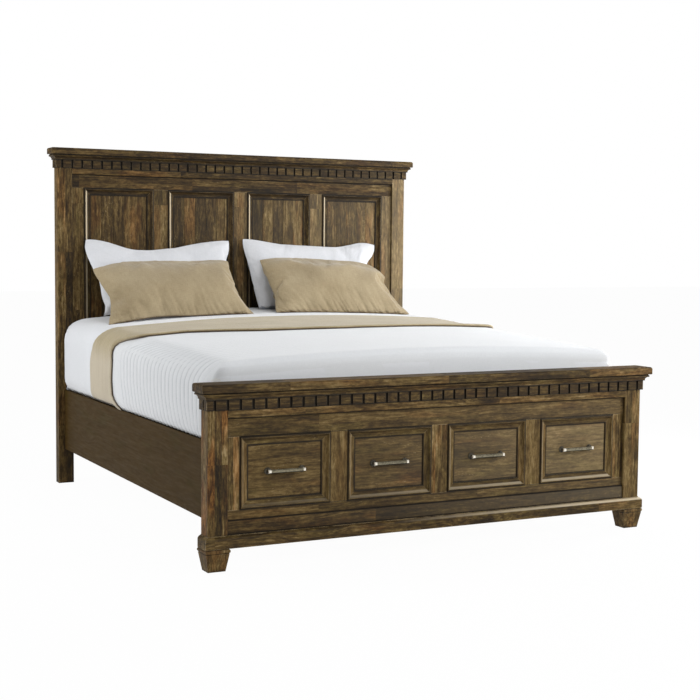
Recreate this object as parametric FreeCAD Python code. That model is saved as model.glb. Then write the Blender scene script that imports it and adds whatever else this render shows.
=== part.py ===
"""King-size storage bed: panelled headboard, footboard with two drawers, plain side rails, bedding.

Millimetres. X runs across the bed, Y from foot to head, Z up. The origin is the middle of the
footprint, on the floor. The footboard faces -Y, and "left" is the side at -X.
"""
import FreeCAD, Part
import math
import os

V = FreeCAD.Vector

# Spans and heights of the whole bed
footboard_span = 2050.0          # outer faces of the footboard posts
headboard_inset = 7.0            # outer faces of the headboard posts, in from those
rail_inset = 40.0                # outer faces of the side rails, in from the same
rail_length = 2075.0             # clear length between footboard and headboard
headboard_cap_bottom = 1699.0
footboard_cap_bottom = 687.0

# Posts
head_post_width = 79.0
head_post_depth = 58.0
foot_post_width = 82.0
foot_post_depth = 71.0
post_edge_round = 3.0

# Caps
head_cap_thickness = 32.0
foot_cap_thickness = 32.5
cap_overhang = 36.0
cap_top_round = 9.0
cap_low_round = 3.0

# Crown moulding under each cap: a cove, then a bead
head_crown_height = 28.0
foot_crown_height = 28.0
crown_cove_reach = 14.0
crown_step_reach = 23.0
crown_bead_reach = 28.0
crown_bead_height = 8.0
crown_fillet_height = 4.0
cove_sag = 2.6

# Dentil strips
dentil_height = 41.0
dentil_reach = 8.0
dentil_gap = 9.5
dentil_kerf_depth = 6.5
dentil_count = 40
dentil_side_block = 42.0

# Fascia boards between the posts, under the dentils
fascia_visible = 33.0
fascia_proud = 2.0
fascia_round = 7.0
fascia_top_gap = 1.0

# Headboard frame, set back between its posts
head_recess = 11.0
head_frame_thickness = 28.0
head_top_rail_height = 67.0
head_bottom_rail_low = 330.0
head_bottom_rail_top = 450.0
head_end_stile_width = 65.0
head_mid_stile_width = 82.0
head_panel_count = 4
head_panel_sink = 12.0
head_panel_thickness = 10.0
plank_groove_width = 3.0
plank_groove_depth = 1.6
planks_per_panel = 5

# Footboard frame
foot_recess = 16.0
foot_frame_thickness = 22.0
foot_end_stile_width = 55.0
foot_mid_stile_width = 78.0
foot_top_rail_height = 73.5      # the part that shows, under the fascia
foot_bottom_rail_height = 38.0
lower_board_height = 102.5
lower_board_proud = 8.0

# Base moulding and feet
base_band_height = 29.0
base_height = 49.0
base_reach = 14.0
base_step = 2.0
base_lip = 3.0
foot_height = 70.0
foot_inset = 37.0                # from the post's outer face to the middle of the foot
foot_low_width = 72.0
foot_low_depth = 61.0
foot_top_width = 97.0
foot_top_depth = 85.0
foot_collar_height = 18.5
foot_collar_reach = 3.0

# Mitred moulding round each panel
trim_width = 34.0
trim_proud = 5.0
trim_lip = 7.0
trim_lip_round = 2.5
trim_quirk = 1.5
trim_foot_width = 8.0
trim_foot_height = 4.0
trim_cove_sag = 2.4

# Side rails, ledgers, slats, centre beam, legs
rail_thickness = 22.0
rail_low = 177.0
rail_top = 486.0
rail_round = 3.0
ledger_width = 25.0
ledger_height = 30.0
slat_thickness = 20.0
slat_drop = 31.0                 # the slats' top, below that of the rails
slat_width = 70.0
slat_count = 13
slat_end_play = 3.0
slat_end_room = 32.0             # from the headboard or footboard to the nearest slat
beam_width = 38.0
beam_height = 70.0
leg_width = 45.0
leg_foot_width = 34.0
leg_foot_height = 18.0
leg_count = 3
bay_leg_setback = 72.0           # from a drawer bay's outer face to its leg

# Rail brackets and bolts
bracket_thickness = 3.0
bracket_arm = 17.0
bracket_length = 60.0
bracket_rise = 35.0              # above the rail's lower edge
bracket_height = 120.0
bolt_diameter = 6.0
bolt_head_diameter = 10.0
bolt_head_height = 4.0
bolt_length = 40.0
bolt_inset = 25.0
bolt_play = 0.3

# Drawer bays behind the footboard
bay_panel_thickness = 18.0
bay_back_room = 28.0             # behind the closed drawer
bay_under = 29.0                 # how far the bays reach below the opening

# Drawer fronts
front_play = 1.5
front_stile_width = 80.0
front_sink = 10.0
front_board_thickness = 18.0

# Drawer boxes
box_wall = 12.0
box_low_room = 17.0              # from the opening's lower edge
box_top_room = 91.5              # from its upper edge
box_floor_thickness = 6.0
box_floor_lift = 10.0
slide_room = 13.0                # between a box side and its bay panel

# Slides: three nested channels on each side of a box
slide_length = 400.0
slide_rise = 54.0                # above the box's lower edge
slide_height = 45.0
slide_steel = 1.2
slide_play = 0.35
slide_lip = 9.6
slide_mid_lip = 7.0

# Pulls
pull_length = 158.0
pull_height = 14.0
pull_depth = 11.0
pull_chamfer = 3.0
pull_post_inset = 6.0            # from the bar's end to the middle of its post
pull_clear = 19.0                # finger room between the bar and the panel
pull_post_diameter = 9.0
pull_neck_diameter = 13.0
pull_neck_length = 4.0
rosette_diameter = 27.0
rosette_thickness = 3.0
rosette_dome = 2.5
screw_diameter = 4.0
screw_head_diameter = 8.0
screw_head_height = 2.5
screw_bite = 12.0
screw_play = 0.2

# Bedding
foundation_side_gap = 13.0       # between the foundation and a side rail
bed_overhang = 20.0              # how far the mattress, with its sheet, lies over the rails
bed_head_gap = 8.0
bed_foot_gap = 35.0
foundation_height = 120.0
bed_top_head = 902.0             # crown of the mattress at the headboard
bed_drop = 90.0                  # fall of the crown towards the foot
bed_shoulder_rise = 152.0
bed_shoulder_run = 130.0
bed_crown = 30.0
bed_end_round = 70.0
bed_end_lift = 8.0               # the rounding at the ends starts this far above the crown
bed_corner_round = 50.0
soft_play = 0.3
blanket_thickness = 5.0
blanket_front = 903.0            # from the headboard's face to the blanket's edges
blanket_back = 530.0
hem_gap = 2.0                    # from the cloths' lower edges down to the rails
coverlet_thickness = 5.0
coverlet_start = 868.0           # from the headboard's face to the coverlet's edge
turn_back = 300.0                # both lie this much lower on the top than at the sides
turn_run = 75.0                  # from the mattress's side to where that is reached

# Pillows: outline, thickness, and the seam line seen from the side
sham_side_room = 177.0           # narrower than half the mattress by this much
sham_gap = 74.0                  # between the two
sham_height = 418.0
sham_thickness = 150.0
sham_shift = -46.0               # the pair lies off the bed's middle
sham_foot_y = 165.0              # in front of the headboard's face
sham_sink = 19.0                 # its lower seam, below the mattress's crown
sham_lean_angle = 23.0           # degrees back from upright
pillow_side_room = 205.0
pillow_gap = 105.0
pillow_height = 382.0
pillow_thickness = 150.0
pillow_shift = -17.0
pillow_foot_y = 393.0
pillow_sink = 34.0
pillow_lean_angle = 41.0
pillow_draw = 26.0              # how far the sides pull in between the corners
pillow_seam = 14.0               # thickness left at the seam

# Cutting and comparing
overrun = 5.0
hair = 0.01

# Half-way point of a quarter arc, as a share of its radius from each side
quarter_share = math.cos(math.radians(45))

# Stations worked out from the sizes above
total_length = cap_overhang + foot_post_depth + rail_length + head_post_depth
head_back = total_length / 2
head_face = head_back - head_post_depth
foot_back = head_face - rail_length
foot_face = foot_back - foot_post_depth
foot_half = footboard_span / 2
head_half = foot_half - headboard_inset
rail_outer = foot_half - rail_inset
rail_inner = rail_outer - rail_thickness
head_inner = head_half - head_post_width
foot_inner = foot_half - foot_post_width
slat_top = rail_top - slat_drop
slat_low = slat_top - slat_thickness
base_low = foot_height + foot_collar_height
bottom_rail_low = base_low + lower_board_height
opening_low = bottom_rail_low + foot_bottom_rail_height
foot_fascia_low = footboard_cap_bottom - foot_crown_height - dentil_height - fascia_visible
opening_top = foot_fascia_low - foot_top_rail_height
opening_inner = foot_mid_stile_width / 2
opening_outer = foot_inner - foot_end_stile_width
front_height = opening_top - opening_low - 2 * front_play
front_width = opening_outer - opening_inner - 2 * front_play
front_panel_width = (front_width - front_stile_width) / 2
frame_face = foot_face + foot_recess
frame_back = frame_face + foot_frame_thickness
panel_face = frame_face + front_sink
board_back = panel_face + front_board_thickness
box_low = opening_low + box_low_room
box_top = opening_top - box_top_room
box_depth = box_wall + slide_length
slide_low = box_low + slide_rise
bay_back = board_back + box_depth + bay_back_room
bay_low = opening_low - bay_under
bracket_low = rail_low + bracket_rise
pull_spacing = pull_length - 2 * pull_post_inset
foundation_half = rail_inner - foundation_side_gap
bed_half = rail_inner + bed_overhang
bed_head_end = head_face - bed_head_gap
bed_foot_end = foot_back + bed_foot_gap
sham_width = bed_half - sham_side_room
pillow_width = bed_half - pillow_side_room
sides = {"left": -1, "right": 1}

made = {}


def block(x0, x1, y0, y1, z0, z1):
    corner = V(min(x0, x1), min(y0, y1), min(z0, z1))
    return Part.makeBox(abs(x1 - x0), abs(y1 - y0), abs(z1 - z0), corner)


def eased(shape, radius, wanted):
    """Round the edges whose middle passes the test."""
    edges = [edge for edge in shape.Edges if wanted(edge.CenterOfMass)]
    return shape.makeFillet(radius, edges)


def near(a, b):
    return abs(a - b) < hair


def board(x0, x1, y0, y1, z0, z1, axis, radius=post_edge_round):
    """A board whose four long edges are eased; axis is the way that it runs."""
    shape = block(x0, x1, y0, y1, z0, z1)
    middle = shape.BoundBox.Center
    return eased(shape, radius, lambda at: near(at[axis], middle[axis]))


def wire(start, steps, place):
    """A closed outline: each step is a point, or a pair (middle of the arc, its end)."""
    edges = []
    here = start
    for step in list(steps) + [start]:
        if isinstance(step[0], tuple):
            middle, there = step
            edges.append(Part.Arc(place(*here), place(*middle), place(*there)).toShape())
        else:
            there = step
            edges.append(Part.LineSegment(place(*here), place(*there)).toShape())
        here = there
    return Part.Wire(edges)


def prism(start, steps, place, along):
    return Part.Face(wire(start, steps, place)).extrude(along)


def flat_prism(points, place, along):
    return prism(points[0], points[1:], place, along)


def wrapped(half, front, back, reach, start, steps):
    """A moulding mitred round the front and both ends; the profile is (reach out, height)."""
    outer = half + reach
    run = prism(start, steps, lambda out, z: V(-outer, front - out, z), V(2 * outer, 0, 0))
    low = run.BoundBox.ZMin
    rise = V(0, 0, run.BoundBox.ZLength)
    plan = lambda x, y: V(x, y, low)
    corners = [(-outer, front - reach), (outer, front - reach), (half, front), (-half, front)]
    pieces = [run.common(flat_prism(corners, plan, rise))]
    for side in sides.values():
        length = V(0, back - front + reach, 0)
        end = prism(start, steps, lambda out, z: V(side * (half + out), front - reach, z), length)
        corners = [(side * outer, front - reach), (side * half, front)]
        corners += [(side * half, back), (side * outer, back)]
        pieces.append(end.common(flat_prism(corners, plan, rise)))
    return pieces


def solids(shapes):
    found = []
    for shape in shapes:
        found += shape.Solids
    return found


def keep(name, *shapes):
    """Remember a node: one or more separate solids."""
    parts = solids(shapes)
    made[name] = parts[0] if len(parts) == 1 else Part.makeCompound(parts)


def cap(name, half, front, back, low, thickness):
    """A slab that overhangs the front and the ends, with a rounded upper edge."""
    reach = cap_overhang
    high = low + thickness
    slab = block(-half - reach, half + reach, front - reach, back, low, high)
    slab = eased(slab, cap_low_round, lambda at: near(at.z, low) and not near(at.y, back))
    slab = eased(slab, cap_top_round, lambda at: near(at.z, high) and not near(at.y, back))
    keep(name, slab)


def crown(name, half, front, back, cap_low, height):
    """Cove and bead between the dentils and the cap."""
    low = cap_low - height
    bead_top = cap_low - crown_fillet_height
    bead_low = bead_top - crown_bead_height
    bead_in = crown_bead_reach - crown_bead_height / 2
    cove = ((crown_cove_reach + crown_step_reach) / 2 - cove_sag, (low + bead_low) / 2 + cove_sag)
    bead = (crown_bead_reach, (bead_low + bead_top) / 2)
    steps = [(crown_cove_reach, low), (cove, (crown_step_reach, bead_low)), (bead_in, bead_low)]
    steps += [(bead, (bead_in, bead_top)), (bead_in, cap_low), (0, cap_low)]
    keep(name, *wrapped(half, front, back, crown_bead_reach, (0, low), steps))


def dentils(name, half, front, back, top):
    """A strip with square blocks cut in its face, mitred round the ends."""
    low = top - dentil_height
    steps = [(dentil_reach, low), (dentil_reach, top), (0, top)]
    strip = wrapped(half, front, back, dentil_reach, (0, low), steps)
    end_block = dentil_side_block - dentil_gap - dentil_reach / 2
    pitch = (2 * (half + dentil_reach) - 2 * end_block - dentil_gap) / (dentil_count - 2)
    first = -half - dentil_reach + end_block
    kerf_back = front - dentil_reach + dentil_kerf_depth
    cuts = []
    for number in range(dentil_count - 1):
        x = first + number * pitch
        cuts.append(block(x, x + dentil_gap, front - dentil_reach - overrun, kerf_back,
                          low - overrun, top + overrun))
    for side in sides.values():
        outer = side * (half + dentil_reach + overrun)
        inner = side * (half + dentil_reach - dentil_kerf_depth)
        start = front - dentil_reach + end_block
        cuts.append(block(outer, inner, start, start + dentil_gap, low - overrun, top + overrun))
    keep(name, *[piece.cut(cuts) for piece in strip])


def fascia(name, inner, front, cap_low, crown_height, recess):
    """Board between the posts: flat behind the dentils, with a rounded nose below them."""
    shelf = cap_low - crown_height - dentil_height
    low = shelf - fascia_visible
    out = fascia_proud
    curve = fascia_round * (1 - quarter_share)
    steps = [(out - fascia_round, low)]
    steps += [((out - curve, low + curve), (out, low + fascia_round))]
    steps += [(out, shelf - fascia_top_gap), (0, shelf - fascia_top_gap), (0, cap_low)]
    steps += [(-recess, cap_low)]
    place = lambda reach, z: V(-inner, front - reach, z)
    keep(name, prism((-recess, low), steps, place, V(2 * inner, 0, 0)))
    return low


def panel_trim(x0, x1, z0, z1, face, sink):
    """Four mitred pieces round an opening; returns the level ones and the upright ones."""
    high = sink + trim_proud
    curve = trim_lip_round * (1 - quarter_share)
    cove_end = trim_width - trim_foot_width
    step = high - trim_quirk
    middle_in = (trim_lip + cove_end) / 2 - trim_cove_sag
    middle_up = (step + trim_foot_height) / 2 - trim_cove_sag
    steps = [(0, high - trim_lip_round), ((curve, high - curve), (trim_lip_round, high))]
    steps += [(trim_lip, high), (trim_lip, step)]
    steps += [((middle_in, middle_up), (cove_end, trim_foot_height))]
    steps += [(trim_width, trim_foot_height), (trim_width, 0)]
    centre = V((x0 + x1) / 2, face, (z0 + z1) / 2)
    wide = x1 - x0
    tall = z1 - z0
    level = []
    upright = []
    for turn, length, away, group in ((0, wide, tall, level), (180, wide, tall, level),
                                      (90, tall, wide, upright), (-90, tall, wide, upright)):
        half = length / 2
        edge = -away / 2
        run = prism((0, 0), steps, lambda inward, up: V(-half, -up, edge + inward),
                    V(length, 0, 0))
        mitre = [(-half, edge), (half, edge), (half - trim_width, edge + trim_width)]
        mitre += [(trim_width - half, edge + trim_width)]
        piece = run.common(flat_prism(mitre, lambda x, z: V(x, 0, z), V(0, -high, 0)))
        piece.Placement = FreeCAD.Placement(centre, FreeCAD.Rotation(V(0, 1, 0), turn))
        group.append(piece)
    return level, upright


def headboard():
    recess_face = head_face + head_recess
    frame_rear = recess_face + head_frame_thickness
    for side_name, side in sides.items():
        keep("headboard_post_" + side_name,
             board(side * head_half, side * head_inner, head_face, head_back,
                   0, headboard_cap_bottom, 2))
    cap("headboard_cap", head_half, head_face, head_back, headboard_cap_bottom, head_cap_thickness)
    crown("headboard_crown", head_half, head_face, head_back, headboard_cap_bottom,
          head_crown_height)
    dentil_top = headboard_cap_bottom - head_crown_height
    dentils("headboard_dentils", head_half, head_face, head_back, dentil_top)
    fascia_low = fascia("headboard_fascia", head_inner, head_face, headboard_cap_bottom,
                        head_crown_height, head_recess)
    panel_top = fascia_low - head_top_rail_height
    rails = []
    for low, high in ((head_bottom_rail_low, head_bottom_rail_top),
                      (panel_top, headboard_cap_bottom)):
        rails.append(block(-head_inner, head_inner, recess_face, frame_rear, low, high))
    keep("headboard_rails", *rails)

    mids = (head_panel_count - 1) * head_mid_stile_width
    panel_width = 2 * (head_inner - head_end_stile_width) - mids
    panel_width = panel_width / head_panel_count
    stiles = [block(-head_inner, -head_inner + head_end_stile_width, recess_face, frame_rear,
                    head_bottom_rail_top, panel_top),
              block(head_inner - head_end_stile_width, head_inner, recess_face, frame_rear,
                    head_bottom_rail_top, panel_top)]
    panels = []
    level = []
    upright = []
    front = recess_face + head_panel_sink
    for number in range(head_panel_count):
        x0 = head_end_stile_width - head_inner + number * (panel_width + head_mid_stile_width)
        x1 = x0 + panel_width
        if number:
            stiles.append(block(x0 - head_mid_stile_width, x0, recess_face, frame_rear,
                                head_bottom_rail_top, panel_top))
        panels.append(planked_panel(x0, x1, front, head_bottom_rail_top, panel_top))
        flat, tall = panel_trim(x0, x1, head_bottom_rail_top, panel_top, front, head_panel_sink)
        level += flat
        upright += tall
    keep("headboard_stiles", *stiles)
    keep("headboard_panels", *panels)
    keep("headboard_trim_rails", *level)
    keep("headboard_trim_stiles", *upright)


def planked_panel(x0, x1, front, low, high):
    """A panel of upright planks with a V groove at each joint."""
    panel = block(x0, x1, front, front + head_panel_thickness, low, high)
    grooves = []
    pitch = (x1 - x0 - 2 * trim_width) / planks_per_panel
    for number in range(1, planks_per_panel):
        x = x0 + trim_width + number * pitch
        corners = [(x - plank_groove_width / 2, front), (x, front + plank_groove_depth)]
        corners += [(x + plank_groove_width / 2, front)]
        plan = lambda u, v: V(u, v, low + trim_width)
        grooves.append(flat_prism(corners, plan, V(0, 0, high - low - 2 * trim_width)))
    return panel.cut(grooves)


def footboard():
    post_low = base_low
    for side_name, side in sides.items():
        keep("footboard_post_" + side_name,
             board(side * foot_half, side * foot_inner, foot_face, foot_back,
                   post_low, footboard_cap_bottom, 2))
    cap("footboard_cap", foot_half, foot_face, foot_back, footboard_cap_bottom, foot_cap_thickness)
    crown("footboard_crown", foot_half, foot_face, foot_back, footboard_cap_bottom,
          foot_crown_height)
    dentil_top = footboard_cap_bottom - foot_crown_height
    dentils("footboard_dentils", foot_half, foot_face, foot_back, dentil_top)
    fascia("footboard_fascia", foot_inner, foot_face, footboard_cap_bottom,
           foot_crown_height, foot_recess)
    rails = []
    for low, high in ((bottom_rail_low, opening_low), (opening_top, footboard_cap_bottom)):
        rails.append(block(-foot_inner, foot_inner, frame_face, frame_back, low, high))
    keep("footboard_rails", *rails)
    stiles = [block(-opening_inner, opening_inner, frame_face, frame_back, opening_low,
                    opening_top)]
    for side in sides.values():
        stiles.append(block(side * foot_inner, side * opening_outer, frame_face, frame_back,
                            opening_low, opening_top))
    keep("footboard_stiles", *stiles)
    proud_face = frame_face - lower_board_proud
    lower = block(-foot_inner, foot_inner, proud_face, frame_back, base_low, bottom_rail_low)
    keep("footboard_lower_board",
         eased(lower, post_edge_round,
               lambda at: near(at.z, bottom_rail_low) and near(at.y, proud_face)))
    band_top = base_low + base_band_height
    top = base_low + base_height
    curve_rise = top - base_lip - band_top
    curve_run = base_reach - base_step
    knee = (base_step + curve_run * quarter_share, band_top + curve_rise * quarter_share)
    steps = [(base_reach, base_low), (base_reach, band_top), (knee, (base_step, top - base_lip))]
    steps += [(base_step, top), (0, top)]
    keep("footboard_base_moulding",
         *wrapped(foot_half, foot_face, foot_back, base_reach, (0, base_low), steps))
    keep("footboard_feet", *[tapered_foot(side) for side in sides.values()])


def tapered_foot(side):
    """A square foot that narrows downwards, with a rounded collar under the post."""
    x = side * (foot_half - foot_inset)
    y = foot_face + foot_low_depth / 2

    def ring(width, depth, z):
        corners = [V(x - width / 2, y - depth / 2, z), V(x + width / 2, y - depth / 2, z),
                   V(x + width / 2, y + depth / 2, z), V(x - width / 2, y + depth / 2, z)]
        return Part.makePolygon(corners + corners[:1])

    taper = Part.makeLoft([ring(foot_low_width, foot_low_depth, 0),
                           ring(foot_top_width, foot_top_depth, foot_height)], True, True)
    half_x = foot_top_width / 2 + foot_collar_reach
    half_y = foot_top_depth / 2 + foot_collar_reach
    collar = block(x - half_x, x + half_x, y - half_y, y + half_y, foot_height, base_low)
    collar_middle = (foot_height + base_low) / 2
    collar = eased(collar, (base_low - foot_height) / 2 - hair,
                   lambda at: not near(at.z, collar_middle))
    return taper.fuse(collar).removeSplitter()


def side_frame():
    """Rails, ledgers, slats, centre beam and the legs under it."""
    ledgers = []
    for side_name, side in sides.items():
        keep("side_rail_" + side_name,
             board(side * rail_outer, side * rail_inner, foot_back, head_face,
                   rail_low, rail_top, 1, rail_round))
        ledgers.append(block(side * rail_inner, side * (rail_inner - ledger_width), foot_back,
                             head_face, slat_low - ledger_height, slat_low))
    keep("slat_ledgers", *ledgers)
    reach = rail_inner - slat_end_play
    first = foot_back + slat_end_room
    pitch = (rail_length - 2 * slat_end_room - slat_width) / (slat_count - 1)
    slats = []
    for number in range(slat_count):
        y = first + number * pitch
        slats.append(block(-reach, reach, y, y + slat_width, slat_low, slat_top))
    keep("slats", *slats)
    beam_head = head_face + head_recess
    keep("centre_beam", block(-beam_width / 2, beam_width / 2, frame_back, beam_head,
                              slat_low - beam_height, slat_low))
    bay_rear = bay_back + bay_panel_thickness
    places = []
    spread = (beam_head - bay_rear) / leg_count
    for number in range(leg_count):
        places.append((0, bay_rear + (number + 1 / 2) * spread, slat_low - beam_height))
    corner = opening_outer + bay_panel_thickness - bay_leg_setback - leg_width / 2
    for side in sides.values():
        places.append((side * corner, bay_rear - leg_width / 2, bay_low))
    keep("support_legs", *[support_leg(*place) for place in places])


def support_leg(x, y, top):
    half = leg_width / 2
    foot = leg_foot_width / 2
    shaft = block(x - half, x + half, y - half, y + half, leg_foot_height, top)
    glide = block(x - foot, x + foot, y - foot, y + foot, 0, leg_foot_height)
    return shaft.fuse(glide)


def rail_fixings():
    """An angle bracket at each end of each rail, with two bolts into the post."""
    brackets = []
    bolts = []
    bracket_top = bracket_low + bracket_height
    for side in sides.values():
        for face, away in ((head_face, -1), (foot_back, 1)):
            inner = side * rail_inner
            wing = side * (rail_inner - bracket_thickness)
            arm = side * (rail_inner - bracket_thickness - bracket_arm)
            leaf = block(inner, wing, face, face + away * bracket_length, bracket_low, bracket_top)
            plate = block(inner, arm, face, face + away * bracket_thickness, bracket_low,
                          bracket_top)
            bracket = leaf.fuse(plate).removeSplitter()
            x = side * (rail_inner - bracket_thickness - bracket_arm / 2)
            for z in (bracket_low + bolt_inset, bracket_top - bolt_inset):
                into = V(0, -away, 0)
                hole = Part.makeCylinder(bolt_diameter / 2 + bolt_play, bolt_length + overrun,
                                         V(x, face + away * overrun, z), into)
                bracket = bracket.cut(hole)
                seat = V(x, face + away * bracket_thickness, z)
                head = Part.makeCylinder(bolt_head_diameter / 2, bolt_head_height, seat,
                                         V(0, away, 0))
                shank = Part.makeCylinder(bolt_diameter / 2, bolt_length, seat, into)
                bolts.append(head.fuse(shank))
                post = ("headboard_post_" if away < 0 else "footboard_post_")
                post += "left" if side < 0 else "right"
                made[post] = made[post].cut(hole)
            brackets.append(bracket)
    keep("rail_brackets", *brackets)
    keep("rail_bolts", *bolts)


def drawer_bays():
    """Upright panels beside each drawer, and a back behind it."""
    panels = []
    rear = bay_back + bay_panel_thickness
    for side in sides.values():
        outer = side * (opening_outer + bay_panel_thickness)
        inner = side * (opening_inner - bay_panel_thickness)
        panels.append(block(side * opening_outer, outer, frame_back, bay_back, bay_low, slat_low))
        panels.append(block(side * opening_inner, inner, frame_back, bay_back, bay_low, slat_low))
        panels.append(block(inner, outer, bay_back, rear, bay_low, slat_low))
    keep("drawer_bay_panels", *panels)


def channel(wall, toward, lip, height, middle, y0, y1, steel):
    """A C channel: its web lies on the wall and its lips point toward (+1 or -1 in X)."""
    low = middle - height / 2
    top = middle + height / 2
    web = block(wall, wall + toward * steel, y0, y1, low, top)
    under = block(wall, wall + toward * lip, y0, y1, low, low + steel)
    over = block(wall, wall + toward * lip, y0, y1, top - steel, top)
    return web.fuse([under, over]).removeSplitter()


def slides(side_name, side):
    """The three members of each slide, and the two walls that they run between."""
    y0 = board_back + box_wall
    y1 = y0 + slide_length
    middle = slide_low + slide_height / 2
    mid_height = slide_height - 2 * (slide_steel + slide_play)
    inner_height = mid_height - 2 * (slide_steel + slide_play)
    fixed = []
    moving_mid = []
    moving_inner = []
    for wall, toward in ((side * opening_inner, side), (side * opening_outer, -side)):
        fixed.append(channel(wall, toward, slide_lip, slide_height, middle, y0, y1, slide_steel))
        mid_wall = wall + toward * (slide_steel + slide_play)
        moving_mid.append(channel(mid_wall, toward, slide_mid_lip, mid_height, middle, y0, y1,
                                  slide_steel))
        box_side = wall + toward * slide_room
        moving_inner.append(inner_member(box_side, -toward, inner_height, middle, y0, y1))
    keep("slide_middle_" + side_name, *moving_mid)
    keep("drawer_slide_" + side_name, *moving_inner)
    return fixed


def inner_member(box_side, toward, height, middle, y0, y1):
    """The drawer's own member: a spacer on the box side and a channel inside the middle one."""
    gap = slide_steel + slide_play
    reach = slide_room - 2 * gap
    low = middle - height / 2
    top = middle + height / 2
    web = block(box_side, box_side + toward * slide_steel, y0, y1, low, top)
    lips = []
    for z0, z1 in ((low, low + slide_steel), (top - slide_steel, top)):
        lips.append(block(box_side, box_side + toward * reach, y0, y1, z0, z1))
    return web.fuse(lips).removeSplitter()


def drawer(side_name, side):
    """One drawer: panelled front, box and pulls. Returns its fixed slide members."""
    near_x = side * (opening_inner + front_play)
    far_x = side * (opening_outer - front_play)
    x0 = min(near_x, far_x)
    x1 = max(near_x, far_x)
    z0 = opening_low + front_play
    z1 = z0 + front_height
    front = block(x0, x1, panel_face, board_back, z0, z1)
    stile_x0 = x0 + front_panel_width
    stile_x1 = x1 - front_panel_width
    level = []
    upright = [block(stile_x0, stile_x1, frame_face, panel_face, z0, z1)]
    bars = []
    posts = []
    screws = []
    for left, right in ((x0, stile_x0), (stile_x1, x1)):
        flat, tall = panel_trim(left, right, z0, z1, panel_face, front_sink)
        level += flat
        upright += tall
        centre = V((left + right) / 2, panel_face, (z0 + z1) / 2)
        bars.append(pull_bar(centre))
        for end in sides.values():
            foot = centre + V(end * pull_spacing / 2, 0, 0)
            posts.append(pull_post(foot))
            screw, hole = pull_screw(foot)
            screws.append(screw)
            front = front.cut(hole)
    keep("drawer_front_" + side_name, front)
    keep("drawer_trim_rails_" + side_name, *level)
    keep("drawer_trim_stiles_" + side_name, *upright)
    keep("pull_bars_" + side_name, *bars)
    keep("pull_posts_" + side_name, *posts)

    bx0 = side * (opening_inner + slide_room)
    bx1 = side * (opening_outer - slide_room)
    left = min(bx0, bx1)
    right = max(bx0, bx1)
    back = board_back + box_depth
    walls = [block(left, left + box_wall, board_back, back, box_low, box_top),
             block(right - box_wall, right, board_back, back, box_low, box_top),
             block(left + box_wall, right - box_wall, board_back, board_back + box_wall,
                   box_low, box_top),
             block(left + box_wall, right - box_wall, back - box_wall, back, box_low, box_top)]
    walls[2] = walls[2].cut(Part.makeCompound([screw_pocket(screw) for screw in screws]))
    keep("drawer_box_" + side_name, *walls)
    floor_z = box_low + box_floor_lift
    keep("drawer_floor_" + side_name,
         block(left + box_wall, right - box_wall, board_back + box_wall, back - box_wall,
               floor_z, floor_z + box_floor_thickness))
    keep("pull_screws_" + side_name, *screws)
    return slides(side_name, side)


def pull_bar(centre):
    """A bar with chamfered corners, held off the panel by two posts."""
    back = centre.y - pull_clear
    front = back - pull_depth
    half = pull_length / 2
    bar = block(centre.x - half, centre.x + half, front, back,
                centre.z - pull_height / 2, centre.z + pull_height / 2)
    bar = bar.makeChamfer(pull_chamfer, [edge for edge in bar.Edges
                                         if near(edge.CenterOfMass.y, front)])
    return bar


def pull_post(foot):
    """A turned post with a round rosette on the panel and a neck behind the bar."""
    out = V(0, -1, 0)
    plate = Part.makeCylinder(rosette_diameter / 2, rosette_thickness, foot, out)
    dome_base = foot + out * rosette_thickness
    dome = Part.makeCone(rosette_diameter / 2 - rosette_thickness, pull_neck_diameter / 2,
                         rosette_dome, dome_base, out)
    stem = Part.makeCylinder(pull_post_diameter / 2, pull_clear, foot, out)
    neck = Part.makeCylinder(pull_neck_diameter / 2, pull_neck_length,
                             foot + out * (pull_clear - pull_neck_length), out)
    post = plate.fuse([dome, stem, neck]).removeSplitter()
    tapped = Part.makeCylinder(screw_diameter / 2 + screw_play, screw_bite + screw_play, foot, out)
    return post.cut(tapped)


def pull_screw(foot):
    """A screw from inside the drawer front into the post, and the hole for it."""
    seat = V(foot.x, board_back, foot.z)
    out = V(0, -1, 0)
    shank = Part.makeCylinder(screw_diameter / 2, front_board_thickness + screw_bite, seat, out)
    head = Part.makeCylinder(screw_head_diameter / 2, screw_head_height, seat, V(0, 1, 0))
    hole = Part.makeCylinder(screw_diameter / 2 + screw_play, front_board_thickness + overrun,
                             seat + V(0, overrun / 2, 0), out)
    return head.fuse(shank), hole


def screw_pocket(screw):
    """Room round a screw's head in the wall of the drawer box."""
    centre = screw.BoundBox.Center
    return Part.makeCylinder(screw_head_diameter / 2 + screw_play, box_wall + 2 * overrun,
                             V(centre.x, board_back - overrun, centre.z), V(0, 1, 0))


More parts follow.
